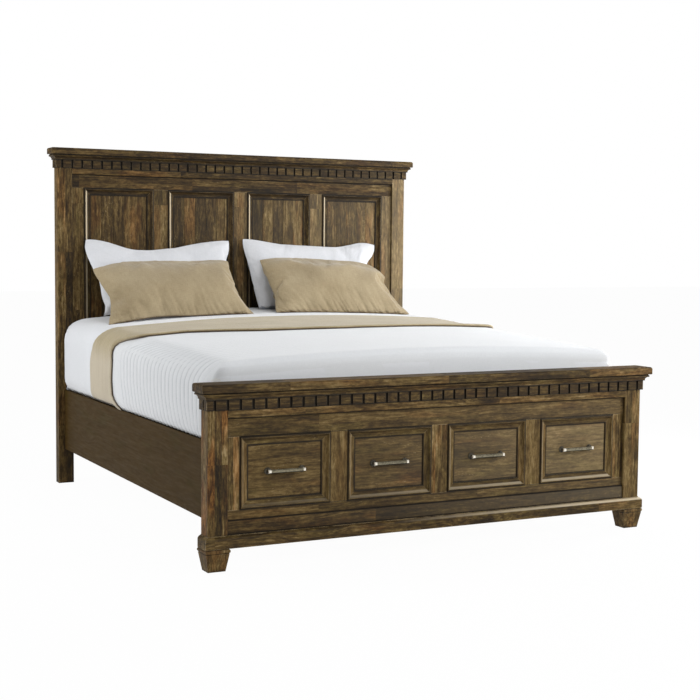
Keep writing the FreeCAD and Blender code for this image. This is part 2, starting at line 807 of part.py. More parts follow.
def bed_form(grow, low, front, back):
    """The mattress's outer form, grown evenly: crowned top, round shoulders, flat sides."""
    half = bed_half + grow
    top = bed_top_head + grow
    shoulder = top - bed_shoulder_rise
    edge = top - bed_crown
    inner = half - bed_shoulder_run
    knee = (inner + bed_shoulder_run * quarter_share, shoulder
            + (bed_shoulder_rise - bed_crown) * quarter_share)
    under = low - bed_drop
    steps = [(half, under), (half, shoulder), (knee, (inner, edge))]
    steps += [((0, top), (-inner, edge)), ((-knee[0], knee[1]), (-half, shoulder))]
    head_end = bed_head_end + grow
    foot_end = bed_foot_end - grow
    place = lambda x, z: V(x, head_end, z)
    across = prism((-half, under), steps, place, V(0, foot_end - head_end, -bed_drop))
    curve = bed_end_round * (1 - quarter_share)
    high = top + bed_end_lift
    foot_top = high - bed_drop
    steps = [(head_end, low), (head_end, high - bed_end_round)]
    steps += [((head_end - curve, high - curve), (head_end - bed_end_round, high))]
    steps += [(foot_end + bed_end_round, foot_top)]
    steps += [((foot_end + curve, foot_top - curve), (foot_end, foot_top - bed_end_round))]
    along = prism((foot_end, low), steps, lambda y, z: V(-half, y, z), V(2 * half, 0, 0))
    plan = block(-half, half, foot_end, head_end, low, high)
    plan = eased(plan, bed_corner_round, lambda at: near(at.z, (low + high) / 2))
    form = across.common(along).common(plan)
    return form.common(block(-half, half, max(front, foot_end), min(back, head_end), low, high))


def beyond_turn(side_y):
    """All on the head side of an edge that is turned back further on top than at the sides."""
    top_y = side_y - turn_back
    inner = bed_half - turn_run
    outer = bed_half + turn_run
    knee_x = bed_half - turn_run * (1 - quarter_share)
    knee_y = side_y - turn_back * quarter_share
    steps = [(outer, total_length), (outer, side_y), (bed_half, side_y)]
    steps += [((knee_x, knee_y), (inner, top_y)), (-inner, top_y)]
    steps += [((-knee_x, knee_y), (-bed_half, side_y)), (-outer, side_y)]
    rise = V(0, 0, 2 * bed_top_head)
    return prism((-outer, total_length), steps, lambda x, y: V(x, y, 0), rise)


def bedding():
    foundation_top = slat_top + foundation_height
    foundation = block(-foundation_half, foundation_half, bed_foot_end, bed_head_end, slat_top,
                       foundation_top)
    keep("foundation", eased(foundation, bed_corner_round,
                             lambda at: near(at.z, (slat_top + foundation_top) / 2)))
    keep("mattress", bed_form(0, foundation_top, -total_length, total_length))

    blanket_outer = soft_play + blanket_thickness
    hem = rail_top + hem_gap
    edge = head_face - blanket_front
    y0 = edge - turn_back
    y1 = head_face - blanket_back
    blanket = bed_form(blanket_outer, hem, y0, y1)
    blanket = blanket.cut(bed_form(soft_play, hem - overrun, y0 - overrun, y1 + overrun))
    keep("blanket", blanket.common(beyond_turn(edge)))

    coverlet_inner = blanket_outer + soft_play
    edge = head_face - coverlet_start
    coverlet = bed_form(coverlet_inner + coverlet_thickness, hem, -total_length, edge)
    coverlet = coverlet.cut(bed_form(coverlet_inner, hem - overrun, -total_length,
                                     edge + overrun))
    keep("coverlet", coverlet.cut(beyond_turn(edge)))

    resting = bed_form(soft_play, foundation_top, -total_length, total_length)
    trim_face = head_face + head_recess - trim_proud - soft_play
    board_line = block(-head_half, head_half, trim_face, head_back, 0, headboard_cap_bottom)
    for side_name, side in sides.items():
        sham = stuffed(sham_width, sham_height, sham_thickness,
                       side * (sham_width + sham_gap) / 2 + sham_shift,
                       head_face - sham_foot_y, bed_top_head - sham_sink, sham_lean_angle)
        sham = sham.cut([resting, board_line])
        keep("sham_" + side_name, sham)
        pillow = stuffed(pillow_width, pillow_height, pillow_thickness,
                         side * (pillow_width + pillow_gap) / 2 + pillow_shift,
                         head_face - pillow_foot_y, bed_top_head - pillow_sink,
                         pillow_lean_angle)
        shy = sham.copy()
        shy.translate(V(0, -soft_play, soft_play))
        keep("pillow_" + side_name, pillow.cut([resting, shy]))


def stuffed(width, height, thickness, x, y, z, lean):
    """A pillow: crowned both ways, sides drawn in between the corners, leaning back."""
    crown_shares = ((-0.5, 0), (-0.36, 0.74), (0, 1), (0.36, 0.74), (0.5, 0))
    rings = []
    for place_share, crown_share in crown_shares:
        at = place_share * width
        half = (pillow_seam + (thickness - pillow_seam) * crown_share) / 2
        low = V(at, 0, 0)
        high = V(at, 0, height)
        front = Part.Arc(low, V(at, -half, height / 2), high).toShape()
        back = Part.Arc(high, V(at, half, height / 2), low).toShape()
        rings.append(Part.Wire([front, back]))
    body = Part.makeLoft(rings, True, False)
    side = width / 2
    steps = [((0, pillow_draw), (side, 0)), ((side - pillow_draw, height / 2), (side, height))]
    steps += [((0, height - pillow_draw), (-side, height))]
    steps += [((pillow_draw - side, height / 2), (-side, 0))]
    outline = prism((-side, 0), steps[:-1], lambda u, w: V(u, -thickness, w),
                    V(0, 2 * thickness, 0))
    pillow = body.common(outline)
    pillow.Placement = FreeCAD.Placement(V(x, y, z), FreeCAD.Rotation(V(1, 0, 0), -lean))
    return pillow


def build():
    headboard()
    footboard()
    side_frame()
    rail_fixings()
    drawer_bays()
    fixed = []
    for side_name, side in sides.items():
        fixed += drawer(side_name, side)
    keep("slide_cabinet_members", *fixed)
    bedding()
    os.makedirs("parts", exist_ok=True)
    for name, shape in made.items():
        shape.exportStep("parts/" + name + ".step")
        print(name, len(shape.Solids), "solids", shape.isValid(), round(shape.Volume))


build()
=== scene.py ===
"""Looks of the king-size storage bed: weathered wood, pewter pulls, mattress and bedding."""

import math
import bmesh
import bpy
import numpy as np
from mathutils import Matrix, Vector, noise
from mathutils.bvhtree import BVHTree


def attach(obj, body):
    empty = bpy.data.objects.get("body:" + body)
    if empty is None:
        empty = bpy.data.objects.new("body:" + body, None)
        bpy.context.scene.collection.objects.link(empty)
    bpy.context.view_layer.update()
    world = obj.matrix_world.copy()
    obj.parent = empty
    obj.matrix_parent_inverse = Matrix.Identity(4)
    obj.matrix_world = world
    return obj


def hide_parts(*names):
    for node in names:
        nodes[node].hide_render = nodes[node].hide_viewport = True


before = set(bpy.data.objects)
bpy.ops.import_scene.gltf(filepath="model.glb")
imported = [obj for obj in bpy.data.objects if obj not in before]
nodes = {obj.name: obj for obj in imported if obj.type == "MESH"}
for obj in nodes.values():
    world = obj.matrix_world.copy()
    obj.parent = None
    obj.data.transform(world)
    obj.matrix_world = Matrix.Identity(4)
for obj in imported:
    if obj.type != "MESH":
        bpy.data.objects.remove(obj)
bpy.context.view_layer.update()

# The bedding's form, in metres: its ends, half width, and top at the head end
FOOT_END = -0.978
HEAD_END = 1.054
HALF = 0.983
CROWN = 0.902
FALL = 0.09

# Its rounded sides, the sag of its top towards them, and the filling's lift on the right
SHOULDER_RUN = 0.13
SHOULDER_RISE = 0.122
CROWN_SAG = 0.03
RIGHT_LIFT = 0.0115

# Its rounded ends and corners
END_ROUND = 0.07
END_LIFT = 0.008
HEAD_CORNER = 0.03
FOOT_CORNER = 0.09

# The cloths' hems, and how far they are tucked in below a height
HEM = 0.4885
TUCK_FROM = 0.53
TUCK = 0.016

# A turn runs from -2 to 2 across the bed: the flat top, the shoulders, then the side walls
FLAT_TURN = 0.8
SHOULDER_TURN = 0.2
SIDE_STEPS = 12

# Lengths of cloth over a shoulder and down a side wall
SHOULDER_CLOTH = 0.18
WALL_CLOTH = 0.28

# The pillows lie in front of this
HEADBOARD_FACE = 1.0665

FRONT = (0, -1, 0)
RIGHT = (1, 0, 0)
UP = (0, 0, 1)


def shade(red, green, blue):
    """A colour as seen on screen, 0 to 255, in the linear form that materials take."""
    out = []
    for value in (red, green, blue):
        value = value / 255
        out.append(value / 12.92 if value <= 0.04045 else ((value + 0.055) / 1.055) ** 2.4)
    return (*out, 1.0)


class Bench:
    """Places and joins the nodes of one material or group."""

    def __init__(self, tree):
        self.tree = tree

    def put(self, socket, value):
        if isinstance(value, bpy.types.NodeSocket):
            self.tree.links.new(value, socket)
        else:
            socket.default_value = value

    def add(self, kind, inputs=None, **settings):
        made = self.tree.nodes.new("ShaderNode" + kind)
        for key, value in settings.items():
            setattr(made, key, value)
        for key, value in (inputs or {}).items():
            self.put(made.inputs[key], value)
        return made

    def sum(self, operation, first, second=0.0, third=0.0, clamp=False):
        made = self.add("Math", operation=operation, use_clamp=clamp)
        for socket, value in zip(made.inputs, (first, second, third)):
            self.put(socket, value)
        return made.outputs[0]

    def vector(self, operation, first, second=None, scale=None):
        made = self.add("VectorMath", operation=operation)
        self.put(made.inputs[0], first)
        if second is not None:
            self.put(made.inputs[1], second)
        if scale is not None:
            self.put(made.inputs["Scale"], scale)
        return made.outputs["Value" if operation == "DOT_PRODUCT" else "Vector"]

    def split(self, vector):
        return self.add("SeparateXYZ", {"Vector": vector}).outputs

    def off(self, value, place=0.0):
        """How far a value is from a place, on either side."""
        return self.sum("ABSOLUTE", self.sum("SUBTRACT", value, place))

    def turned_to(self, way, low, high, start=0.0, end=1.0):
        """A mask over faces that are turned to a way."""
        facing = self.add("NewGeometry").outputs["Normal"]
        return self.step(self.vector("DOT_PRODUCT", facing, way), low, high, start, end)

    def edge(self, radius):
        """How sharply the surface turns within a radius, 0 on flat faces."""
        facing = self.add("NewGeometry").outputs["Normal"]
        rounded = self.add("Bevel", {"Radius": radius}, samples=4).outputs[0]
        return self.sum("SUBTRACT", 1.0, self.vector("DOT_PRODUCT", rounded, facing))

    def blend(self, share, first, second, kind="MIX"):
        made = self.add("Mix", data_type="RGBA", blend_type=kind)
        self.put(made.inputs[0], share)
        self.put(made.inputs[6], first)
        self.put(made.inputs[7], second)
        return made.outputs[2]

    def cloud(self, where, size, detail=3.0, rough=0.55, **more):
        made = self.add("TexNoise", {"Vector": where, "Scale": size, "Detail": detail,
                                     "Roughness": rough}, **more)
        return made.outputs[0]

    def step(self, value, low, high, start=0.0, end=1.0):
        """Value from start to end, smoothly, as the input goes from low to high."""
        made = self.add("MapRange", {"Value": value, "From Min": low, "From Max": high,
                                     "To Min": start, "To Max": end},
                        interpolation_type="SMOOTHSTEP")
        return made.outputs[0]

    def ramp(self, value, stops):
        made = self.add("ValToRGB", {"Fac": value})
        line = made.color_ramp
        while len(line.elements) < len(stops):
            line.elements.new(0.5)
        for element, (place, colour) in zip(line.elements, stops):
            element.position = place
            element.color = colour
        return made.outputs[0]

    def group(self, tree, inputs):
        made = self.tree.nodes.new("ShaderNodeGroup")
        made.node_tree = tree
        for key, value in inputs.items():
            self.put(made.inputs[key], value)
        return made.outputs


def new_group(name, inputs, outputs):
    tree = bpy.data.node_groups.new(name, "ShaderNodeTree")
    for label, kind, default in inputs:
        socket = tree.interface.new_socket(label, in_out="INPUT", socket_type=kind)
        if default is not None:
            socket.default_value = default
    for label, kind in outputs:
        tree.interface.new_socket(label, in_out="OUTPUT", socket_type=kind)
    bench = Bench(tree)
    entry = tree.nodes.new("NodeGroupInput")
    leave = tree.nodes.new("NodeGroupOutput")
    return tree, bench, entry.outputs, leave.inputs


FLOAT = "NodeSocketFloat"
POINT = "NodeSocketVector"
COLOUR = "NodeSocketColor"


def weathered_group():
    """Stained wood with streaks, knots, plank tones and pale worn edges, and painted shade in its
    hollows.
    """
    wanted = [("Position", POINT, None), ("Board", FLOAT, 0.0), ("Tone", FLOAT, 0.0),
              ("Contrast", FLOAT, 1.0), ("Warmth", FLOAT, 0.5), ("Olive", FLOAT, 0.5),
              ("Wear", FLOAT, 0.5), ("Speckle", FLOAT, 0.3), ("Hollow", FLOAT, 0.8)]
    made = [("Color", COLOUR), ("Roughness", FLOAT), ("Height", FLOAT)]
    tree, b, given, out = new_group("weathered wood", wanted, made)
    lot = b.add("TexWhiteNoise", {"W": given["Board"]}, noise_dimensions="1D").outputs
    shift = b.vector("SCALE", lot["Color"], scale=9.0)
    at = b.vector("ADD", given["Position"], shift)

    # The grain wanders, and flows round knots
    bend = b.cloud(b.vector("MULTIPLY", at, (9.0, 9.0, 1.6)), 1.0, 2.0)
    bend = b.sum("MULTIPLY", b.sum("SUBTRACT", bend, 0.5), 0.035)
    knot_at = b.vector("MULTIPLY", at, (5.5, 5.5, 1.5))
    knot = b.add("TexVoronoi", {"Vector": knot_at, "Scale": 1.0}, feature="F1").outputs["Distance"]
    knot_core = b.step(knot, 0.05, 0.13, 1.0, 0.0)
    knot_ring = b.step(knot, 0.05, 0.34, 1.0, 0.0)
    push = b.sum("ADD", bend, b.sum("MULTIPLY", knot_ring, 0.03))
    at = b.vector("ADD", at, b.add("CombineXYZ", {"X": push, "Y": push}).outputs[0])

    # From the broad figure down to fibres and blots, and from board to board
    broad = b.cloud(b.vector("MULTIPLY", at, (26.0, 26.0, 4.0)), 1.0, 4.0, 0.6)
    streak = b.cloud(b.vector("MULTIPLY", at, (110.0, 110.0, 8.0)), 1.0, 4.0, 0.6)
    fibre = b.cloud(b.vector("MULTIPLY", at, (270.0, 270.0, 24.0)), 1.0, 4.0, 0.7)
    blot = b.cloud(b.vector("MULTIPLY", at, (66.0, 66.0, 30.0)), 1.0, 4.0, 0.7)
    value = 0.0
    for grain, weight in ((broad, 0.52), (streak, 0.62), (fibre, 0.52), (blot, 0.54)):
        value = b.sum("MULTIPLY_ADD", b.sum("SUBTRACT", grain, 0.5), weight, value)
    value = b.sum("MULTIPLY", value, given["Contrast"])
    plank = b.sum("MULTIPLY", b.sum("SUBTRACT", lot["Value"], 0.5), 0.20)
    value = b.sum("ADD", value, b.sum("MULTIPLY", plank, given["Contrast"]))
    value = b.sum("ADD", b.sum("ADD", value, 0.46), given["Tone"])
    value = b.sum("MULTIPLY_ADD", knot_core, -0.22, value)
    tone = b.ramp(value, [(0.16, shade(27, 17, 5)), (0.36, shade(54, 39, 15)),
                          (0.50, shade(86, 67, 33)), (0.62, shade(114, 93, 54)),
                          (0.82, shade(160, 138, 98))])

    # Some of it redder, some of it greener
    hue = b.cloud(b.vector("MULTIPLY", at, (18.0, 18.0, 4.0)), 1.0, 3.0)
    hue = b.sum("ADD", hue, b.sum("MULTIPLY", b.sum("SUBTRACT", lot["Value"], 0.5), 0.24))
    red = b.sum("MULTIPLY", b.step(hue, 0.52, 0.72), given["Warmth"])
    tone = b.blend(red, tone, b.blend(1.0, tone, (1.22, 0.84, 0.58, 1), "MULTIPLY"))
    green = b.sum("MULTIPLY", b.step(hue, 0.48, 0.30), given["Olive"])
    tone = b.blend(green, tone, b.blend(1.0, tone, (0.88, 0.98, 0.78, 1), "MULTIPLY"))

    # Pale specks where the stain is rubbed thin
    dots = b.cloud(b.vector("MULTIPLY", at, (190.0, 190.0, 60.0)), 1.0, 3.0, 0.75)
    dots = b.sum("MULTIPLY", b.step(dots, 0.58, 0.70), b.step(broad, 0.46, 0.62))
    tone = b.blend(b.sum("MULTIPLY", dots, given["Speckle"]), tone, shade(160, 139, 102))

    # Open edges worn pale; the hollows that ambient occlusion finds are darkened, which is painted
    # shade
    patchy = b.cloud(given["Position"], 26.0, 4.0, 0.7)
    edge = b.sum("MULTIPLY", b.step(b.edge(0.0035), 0.015, 0.16), b.step(patchy, 0.36, 0.62))
    hollow = b.add("AmbientOcclusion", {"Distance": 0.016}, samples=6).outputs["AO"]
    open_edge = b.sum("MULTIPLY", edge, b.step(hollow, 0.55, 0.85))
    tone = b.blend(b.sum("MULTIPLY", open_edge, given["Wear"]), tone, shade(166, 147, 114))
    # Painted shade: darker where ambient occlusion finds the surface shut in
    dark = b.sum("MULTIPLY", b.step(hollow, 0.80, 0.30), given["Hollow"])
    tone = b.blend(dark, tone, shade(20, 15, 8))

    b.put(out["Color"], tone)
    b.put(out["Roughness"], b.sum("SUBTRACT", 0.78, b.sum("MULTIPLY", streak, 0.35)))
    rough_face = b.sum("MULTIPLY_ADD", streak, 0.6, b.sum("MULTIPLY", fibre, 0.4))
    b.put(out["Height"], b.sum("MULTIPLY_ADD", knot_core, -0.3, rough_face))
    return tree


def weave_group():
    """Threads that cross, in UV metres: a mask, and a height for bump."""
    tree, b, given, out = new_group("weave", [("UV", POINT, None), ("Thread", FLOAT, 0.0012)],
                                    [("Height", FLOAT), ("Slub", FLOAT)])
    across = b.split(given["UV"])
    turns = b.sum("DIVIDE", math.pi, given["Thread"])
    warp = b.sum("ABSOLUTE", b.sum("SINE", b.sum("MULTIPLY", across["X"], turns)))
    weft = b.sum("ABSOLUTE", b.sum("SINE", b.sum("MULTIPLY", across["Y"], turns)))
    b.put(out["Height"], b.sum("MAXIMUM", warp, weft))
    slub = b.cloud(b.vector("MULTIPLY", given["UV"], (700.0, 40.0, 1.0)), 1.0, 2.0)
    cross = b.cloud(b.vector("MULTIPLY", given["UV"], (40.0, 700.0, 1.0)), 1.0, 2.0)
    b.put(out["Slub"], b.sum("MULTIPLY", b.sum("ADD", slub, cross), 0.5))
    return tree


WEATHERED = weathered_group()
WEAVE = weave_group()


def empty_bench(owner):
    """A bench on the cleared nodes of a material or world."""
    owner.use_nodes = True
    owner.node_tree.nodes.clear()
    return Bench(owner.node_tree)


def new_material(name):
    made = bpy.data.materials.new(name)
    bench = empty_bench(made)
    shader = bench.add("BsdfPrincipled")
    bench.add("OutputMaterial", {"Surface": shader.outputs[0]})
    return made, bench, shader


def place(b):
    """The place on the piece itself, so that a pattern moves with it."""
    return b.add("TexCoord").outputs["Object"]


def bump(b, height, depth, strength):
    return b.add("Bump", {"Height": height, "Distance": depth, "Strength": strength}).outputs[0]


GRAIN_ORDER = {"x": "YZX", "y": "ZXY", "z": "XYZ"}

# Panel mouldings in pairs: the pair's middle, a panel's middle from it, half its width,
# the panels' middle height and half their height
HEAD_JOINTS = (0.4575, 0.22875, 0.18775, 0.990, 0.540)
DRAWER_JOINTS = (0.4635, 0.2315, 0.1915, 0.37025, 0.13975)
MOULDING = 0.034

# Heights at which one level board or moulding meets the next
HEAD_LINES = (1.597, 1.630, 1.671, 1.699)
FOOT_LINES = (0.1375, 0.191, 0.585, 0.618, 0.659, 0.687)

# Gaps between dentils: where the first starts, their pitch and their width
HEAD_GAPS = (-0.9975, 0.05225, 0.0095)
FOOT_GAPS = (-1.0045, 0.052618, 0.0095)

# Planks of the headboard's panels: where the first starts, the panels' pitch, a plank's width
PANEL_PLANKS = (-0.84, 0.4575, 0.0615)

# Near black, for dark joints and for painted shade in the gaps and corners beside them
JOINT_AND_SHADE_DARK = shade(20, 14, 6)
# Pale, for painted light on faces turned towards a lamp
PAINTED_LIGHT_PALE = shade(214, 198, 168)


def board_number(b, axes, lot, boards, planks):
    """A number that changes from one board or plank to the next."""
    number = lot
    for axis, start, width, weight in boards:
        count = b.sum("FLOOR", b.sum("DIVIDE", b.sum("SUBTRACT", axes[axis], start), width))
        number = b.sum("MULTIPLY_ADD", count, weight, number)
    if planks:
        start, pitch, width = planks
        away = b.sum("SUBTRACT", axes["X"], start)
        inside = b.sum("FLOOR", b.sum("DIVIDE", b.sum("FLOORED_MODULO", away, pitch), width))
        panel = b.sum("FLOOR", b.sum("DIVIDE", away, pitch))
        number = b.sum("ADD", inside, b.sum("MULTIPLY_ADD", panel, 11.0, number))
    return number


def moulding_edges(b, axes, joints):
    """A mask along the outer and inner edges of the panels' mouldings, painted dark: dark joints,
    with painted shade in the gaps and corners there.
    """
    pair, middle, half_width, level, half_height = joints
    aside = b.off(b.off(b.sum("ABSOLUTE", axes["X"]), pair), middle)
    past = b.sum("MAXIMUM", b.sum("SUBTRACT", aside, half_width),
                 b.sum("SUBTRACT", b.off(axes["Z"], level), half_height))
    outer, inner = [b.step(b.off(past, edge), 0.0055, 0.0020) for edge in (0.0, -MOULDING)]
    return b.sum("MAXIMUM", outer, inner)


def dentil_gaps(b, axes, gaps):
    """A mask over the gaps between the dentils, painted dark as painted shade."""
    first, pitch, width = gaps
    along = b.sum("FLOORED_MODULO", b.sum("SUBTRACT", axes["X"], first - width / 2), pitch)
    return b.step(b.off(along, width), width * 0.78, width * 0.52, 0.0, 0.85)


def wood(name, grain, boards=(), planks=None, lot=1.0, light_drift=0.0, rubbed_and_lit=(), joints=None,
         lines=(), gaps=None, gloss=0.2, **look):
    """Weathered wood, with its grain along an axis.

    Boards are (axis, start, width, weight). The light drift grades the tone along X, as painted
    light.
    Each (way, share on the left, share on the right) in the rubbed-and-lit list is painted light:
    faces turned that way are made paler, more on one side, for the light they catch. Joints, lines
    and gaps
    are dark: dark joints, with painted shade in the gaps. Look sets the weathered group's own
    values.
    """
    made, b, shader = new_material(name)
    axes = b.split(place(b))
    turned = {key: axes[source] for key, source in zip("XYZ", GRAIN_ORDER[grain])}
    given = {"Position": b.add("CombineXYZ", turned).outputs[0],
             "Board": board_number(b, axes, lot, boards, planks)}
    given.update((key.capitalize(), value) for key, value in look.items())
    # Painted light: the tone rises or falls along X, as the light does across the piece
    if light_drift:
        given["Tone"] = b.sum("MULTIPLY_ADD", axes["X"], light_drift, look["tone"])
    got = b.group(WEATHERED, given)
    colour = got["Color"]
    # Painted light: faces turned a way are made paler, more on one side, for the highlight they
    # catch
    for way, share_left, share_right in rubbed_and_lit:
        share = b.step(axes["X"], -1.0, 1.0, share_left, share_right)
        share = b.sum("MULTIPLY", b.turned_to(way, 0.30, 0.55), share)
        colour = b.blend(share, colour, PAINTED_LIGHT_PALE)
    # Dark lines on front faces along the mouldings' edges and where boards meet: dark joints, with
    # painted shade in the gaps
    marks = [moulding_edges(b, axes, joints)] if joints else []
    marks += [b.step(b.off(axes["Z"], height), 0.0045, 0.0015) for height in lines]
    front = b.turned_to(FRONT, -0.2, 0.2, 0.0, 0.85)
    for mark in marks:
        colour = b.blend(b.sum("MULTIPLY", mark, front), colour, JOINT_AND_SHADE_DARK)
    # Painted shade in the gaps between the dentils
    if gaps:
        colour = b.blend(dentil_gaps(b, axes, gaps), colour, JOINT_AND_SHADE_DARK)
    b.put(shader.inputs["Base Color"], colour)
    b.put(shader.inputs["Roughness"], got["Roughness"])
    shader.inputs["Specular IOR Level"].default_value = gloss
    b.put(shader.inputs["Normal"], bump(b, got["Height"], 0.0012, 0.7))
    return made


def dress(material, *names):
    for name in names:
        mesh = nodes[name].data
        mesh.materials.clear()
        mesh.materials.append(material)


def both(name):
    return [name + "_left", name + "_right"]


def dress_headboard():
    """Each node of the headboard gets its own cut of the stained wood."""
    dress(wood("stained post head left", "z", [("X", -1.018, 0.041, 1.0), ("Z", 0.3, 0.9, 3.0)],
               lot=3.0, tone=-0.03, wear=0.8, speckle=0.5, contrast=1.15),
          "headboard_post_left")
    # The right post is set brighter than the left, and paler on its front: painted light from the
    # lamps on the right
    dress(wood("stained post head right", "z", [("X", 0.939, 0.041, 1.0), ("Z", 0.2, 0.8, 3.0)],
               lot=21.0, tone=0.07, wear=0.8, speckle=0.5, rubbed_and_lit=[(FRONT, 0.10, 0.10)]),
          "headboard_post_right")
    dress(wood("stained cap head", "x", [("X", -0.62, 0.77, 1.0)], lot=33.0, tone=-0.04,
               wear=1.0, warmth=0.4), "headboard_cap")
    dress(wood("stained crown head", "x", [("X", -0.2, 0.9, 1.0)], lot=41.0, tone=-0.06,
               wear=1.0, warmth=0.3, lines=HEAD_LINES), "headboard_crown")
    # Full painted shade in the dentils' hollows and gaps
    dress(wood("stained dentils head", "x", lot=60.0, wear=1.0, contrast=0.9, hollow=1.0,
               lines=HEAD_LINES, gaps=HEAD_GAPS), "headboard_dentils")
    dress(wood("stained fascia head", "x", [("X", -0.35, 0.8, 1.0)], lot=51.0, tone=-0.02,
               wear=0.8, lines=HEAD_LINES), "headboard_fascia")
    dress(wood("stained rails head", "x", [("X", -0.28, 0.62, 1.0), ("Z", 1.52, 0.035, 2.0)],
               lot=71.0, tone=-0.07, wear=0.7, warmth=0.3, joints=HEAD_JOINTS,
               lines=HEAD_LINES), "headboard_rails")
    # Painted light: the stiles' fronts paler towards the right
    dress(wood("stained stiles head", "z", [("X", -0.939, 0.04, 1.0), ("Z", 0.9, 0.55, 3.0)],
               lot=82.0, tone=0.04, wear=0.8, speckle=0.5, rubbed_and_lit=[(FRONT, 0.0, 0.08)],
               joints=HEAD_JOINTS), "headboard_stiles")
    # Painted light: the panels brighter towards the right, and their fronts paler there
    dress(wood("stained planks", "z", planks=PANEL_PLANKS, lot=90.0, tone=0.0, light_drift=0.05,
               wear=0.3, speckle=0.8, warmth=0.6, rubbed_and_lit=[(FRONT, 0.0, 0.05)],
               joints=HEAD_JOINTS), "headboard_panels")
    dress(wood("stained moulding head level", "x", lot=101.0, tone=-0.07, wear=0.4,
               warmth=0.3, joints=HEAD_JOINTS), "headboard_trim_rails")
    # Painted highlight: the upright mouldings' slopes that face right are made pale cream
    dress(wood("stained moulding head upright", "z", lot=103.0, wear=0.6, warmth=0.3,
               rubbed_and_lit=[(RIGHT, 0.85, 0.85)], joints=HEAD_JOINTS), "headboard_trim_stiles")


def dress_footboard():
    """The footboard's frame, each node in its own cut."""
    dress(wood("stained post foot left", "z", [("X", -1.025, 0.028, 1.0), ("Z", 0.1, 0.31, 3.0)],
               lot=113.0, tone=-0.01, wear=0.9, warmth=1.0, contrast=1.25, speckle=0.4),
          "footboard_post_left")
    # The right post is set brighter than the left: painted light from the lamps on the right
    dress(wood("stained post foot right", "z", [("X", 0.943, 0.041, 1.0), ("Z", 0.1, 0.37, 3.0)],
               lot=127.0, tone=0.05, wear=0.8, warmth=0.5), "footboard_post_right")
    dress(wood("stained cap foot", "x", [("X", -0.7, 0.71, 1.0)], lot=131.0, wear=0.9,
               warmth=0.45), "footboard_cap")
    dress(wood("stained crown foot", "x", [("X", -0.45, 0.83, 1.0)], lot=137.0, tone=-0.04,
               wear=1.0, warmth=0.4, lines=FOOT_LINES), "footboard_crown")
    # Full painted shade in the dentils' hollows and gaps
    dress(wood("stained dentils foot", "x", lot=141.0, tone=-0.09, wear=0.8, contrast=0.9,
               warmth=0.3, hollow=1.0, lines=FOOT_LINES, gaps=FOOT_GAPS), "footboard_dentils")
    dress(wood("stained fascia foot", "x", [("X", -0.62, 0.9, 1.0)], lot=151.0, tone=-0.03,
               wear=0.8, warmth=0.3, lines=FOOT_LINES), "footboard_fascia")
    # Painted light: the rails' fronts paler towards the right
    dress(wood("stained rails foot", "x", [("X", -0.552, 0.74, 1.0), ("Z", 0.545, 0.036, 2.0)],
               lot=163.0, tone=0.02, wear=0.7, contrast=0.8, warmth=0.3,
               rubbed_and_lit=[(FRONT, 0.0, 0.03)], joints=DRAWER_JOINTS, lines=FOOT_LINES),
          "footboard_rails")
    dress(wood("stained stiles foot", "z", [("X", -0.943, 0.028, 1.0), ("Z", 0.2, 0.34, 3.0)],
               lot=171.0, tone=0.02, wear=0.9, warmth=0.7, contrast=1.05, joints=DRAWER_JOINTS),
          "footboard_stiles")
    # Painted light: the lower board's front paler towards the right
    dress(wood("stained lower board", "x", [("X", -0.3, 0.83, 1.0)], lot=181.0, tone=-0.07,
               wear=0.6, contrast=0.9, rubbed_and_lit=[(FRONT, 0.0, 0.08)], lines=FOOT_LINES),
          "footboard_lower_board")
    # Painted highlight: the base moulding's top paler, more towards the right
    dress(wood("stained base moulding", "x", [("X", -0.1, 0.9, 1.0)], lot=187.0, tone=0.02,
               wear=1.0, rubbed_and_lit=[(UP, -0.4, 0.8)]), "footboard_base_moulding")
    dress(wood("stained feet", "z", lot=191.0, tone=-0.05, wear=0.7), "footboard_feet")


def dress_drawers_and_rails():
    """The drawers' boards and mouldings, and the plain side rails."""
    # The right drawer is set brighter, both are graded along X and their fronts paler towards the
    # right: painted light; full painted shade in the hollows
    for name, lot, tone, light_drift in (("left", 201.0, -0.05, -0.12), ("right", 211.0, 0.01, 0.14)):
        dress(wood("stained drawer board " + name, "x", [("X", 0.0, 0.4635, 1.0)], lot=lot,
                   tone=tone, light_drift=light_drift, wear=0.5, contrast=0.75, speckle=0.6, warmth=0.6,
                   hollow=1.0, rubbed_and_lit=[(FRONT, 0.0, 0.08)], joints=DRAWER_JOINTS),
              "drawer_front_" + name)
    # Painted highlight: the level mouldings' faces turned up are paler, more towards the right
    dress(wood("stained drawer moulding level", "x", lot=221.0, tone=0.04, wear=0.4,
               contrast=0.8, warmth=0.2, rubbed_and_lit=[(UP, 0.08, 0.55)],
               joints=DRAWER_JOINTS), *both("drawer_trim_rails"))
    # Painted highlight: the upright mouldings' slopes that face right are paler, more towards the
    # right
    dress(wood("stained drawer moulding upright", "z", [("X", 0.0, 0.2, 1.0)], lot=223.0,
               tone=0.06, wear=0.4, contrast=0.8, warmth=0.2,
               rubbed_and_lit=[(RIGHT, 0.08, 0.45)], joints=DRAWER_JOINTS),
          *both("drawer_trim_stiles"))
    dress(wood("stained side rail", "y", lot=231.0, tone=-0.055, wear=0.35, contrast=0.10,
               warmth=0.0, olive=0.8, speckle=0.0, gloss=0.06), *both("side_rail"))


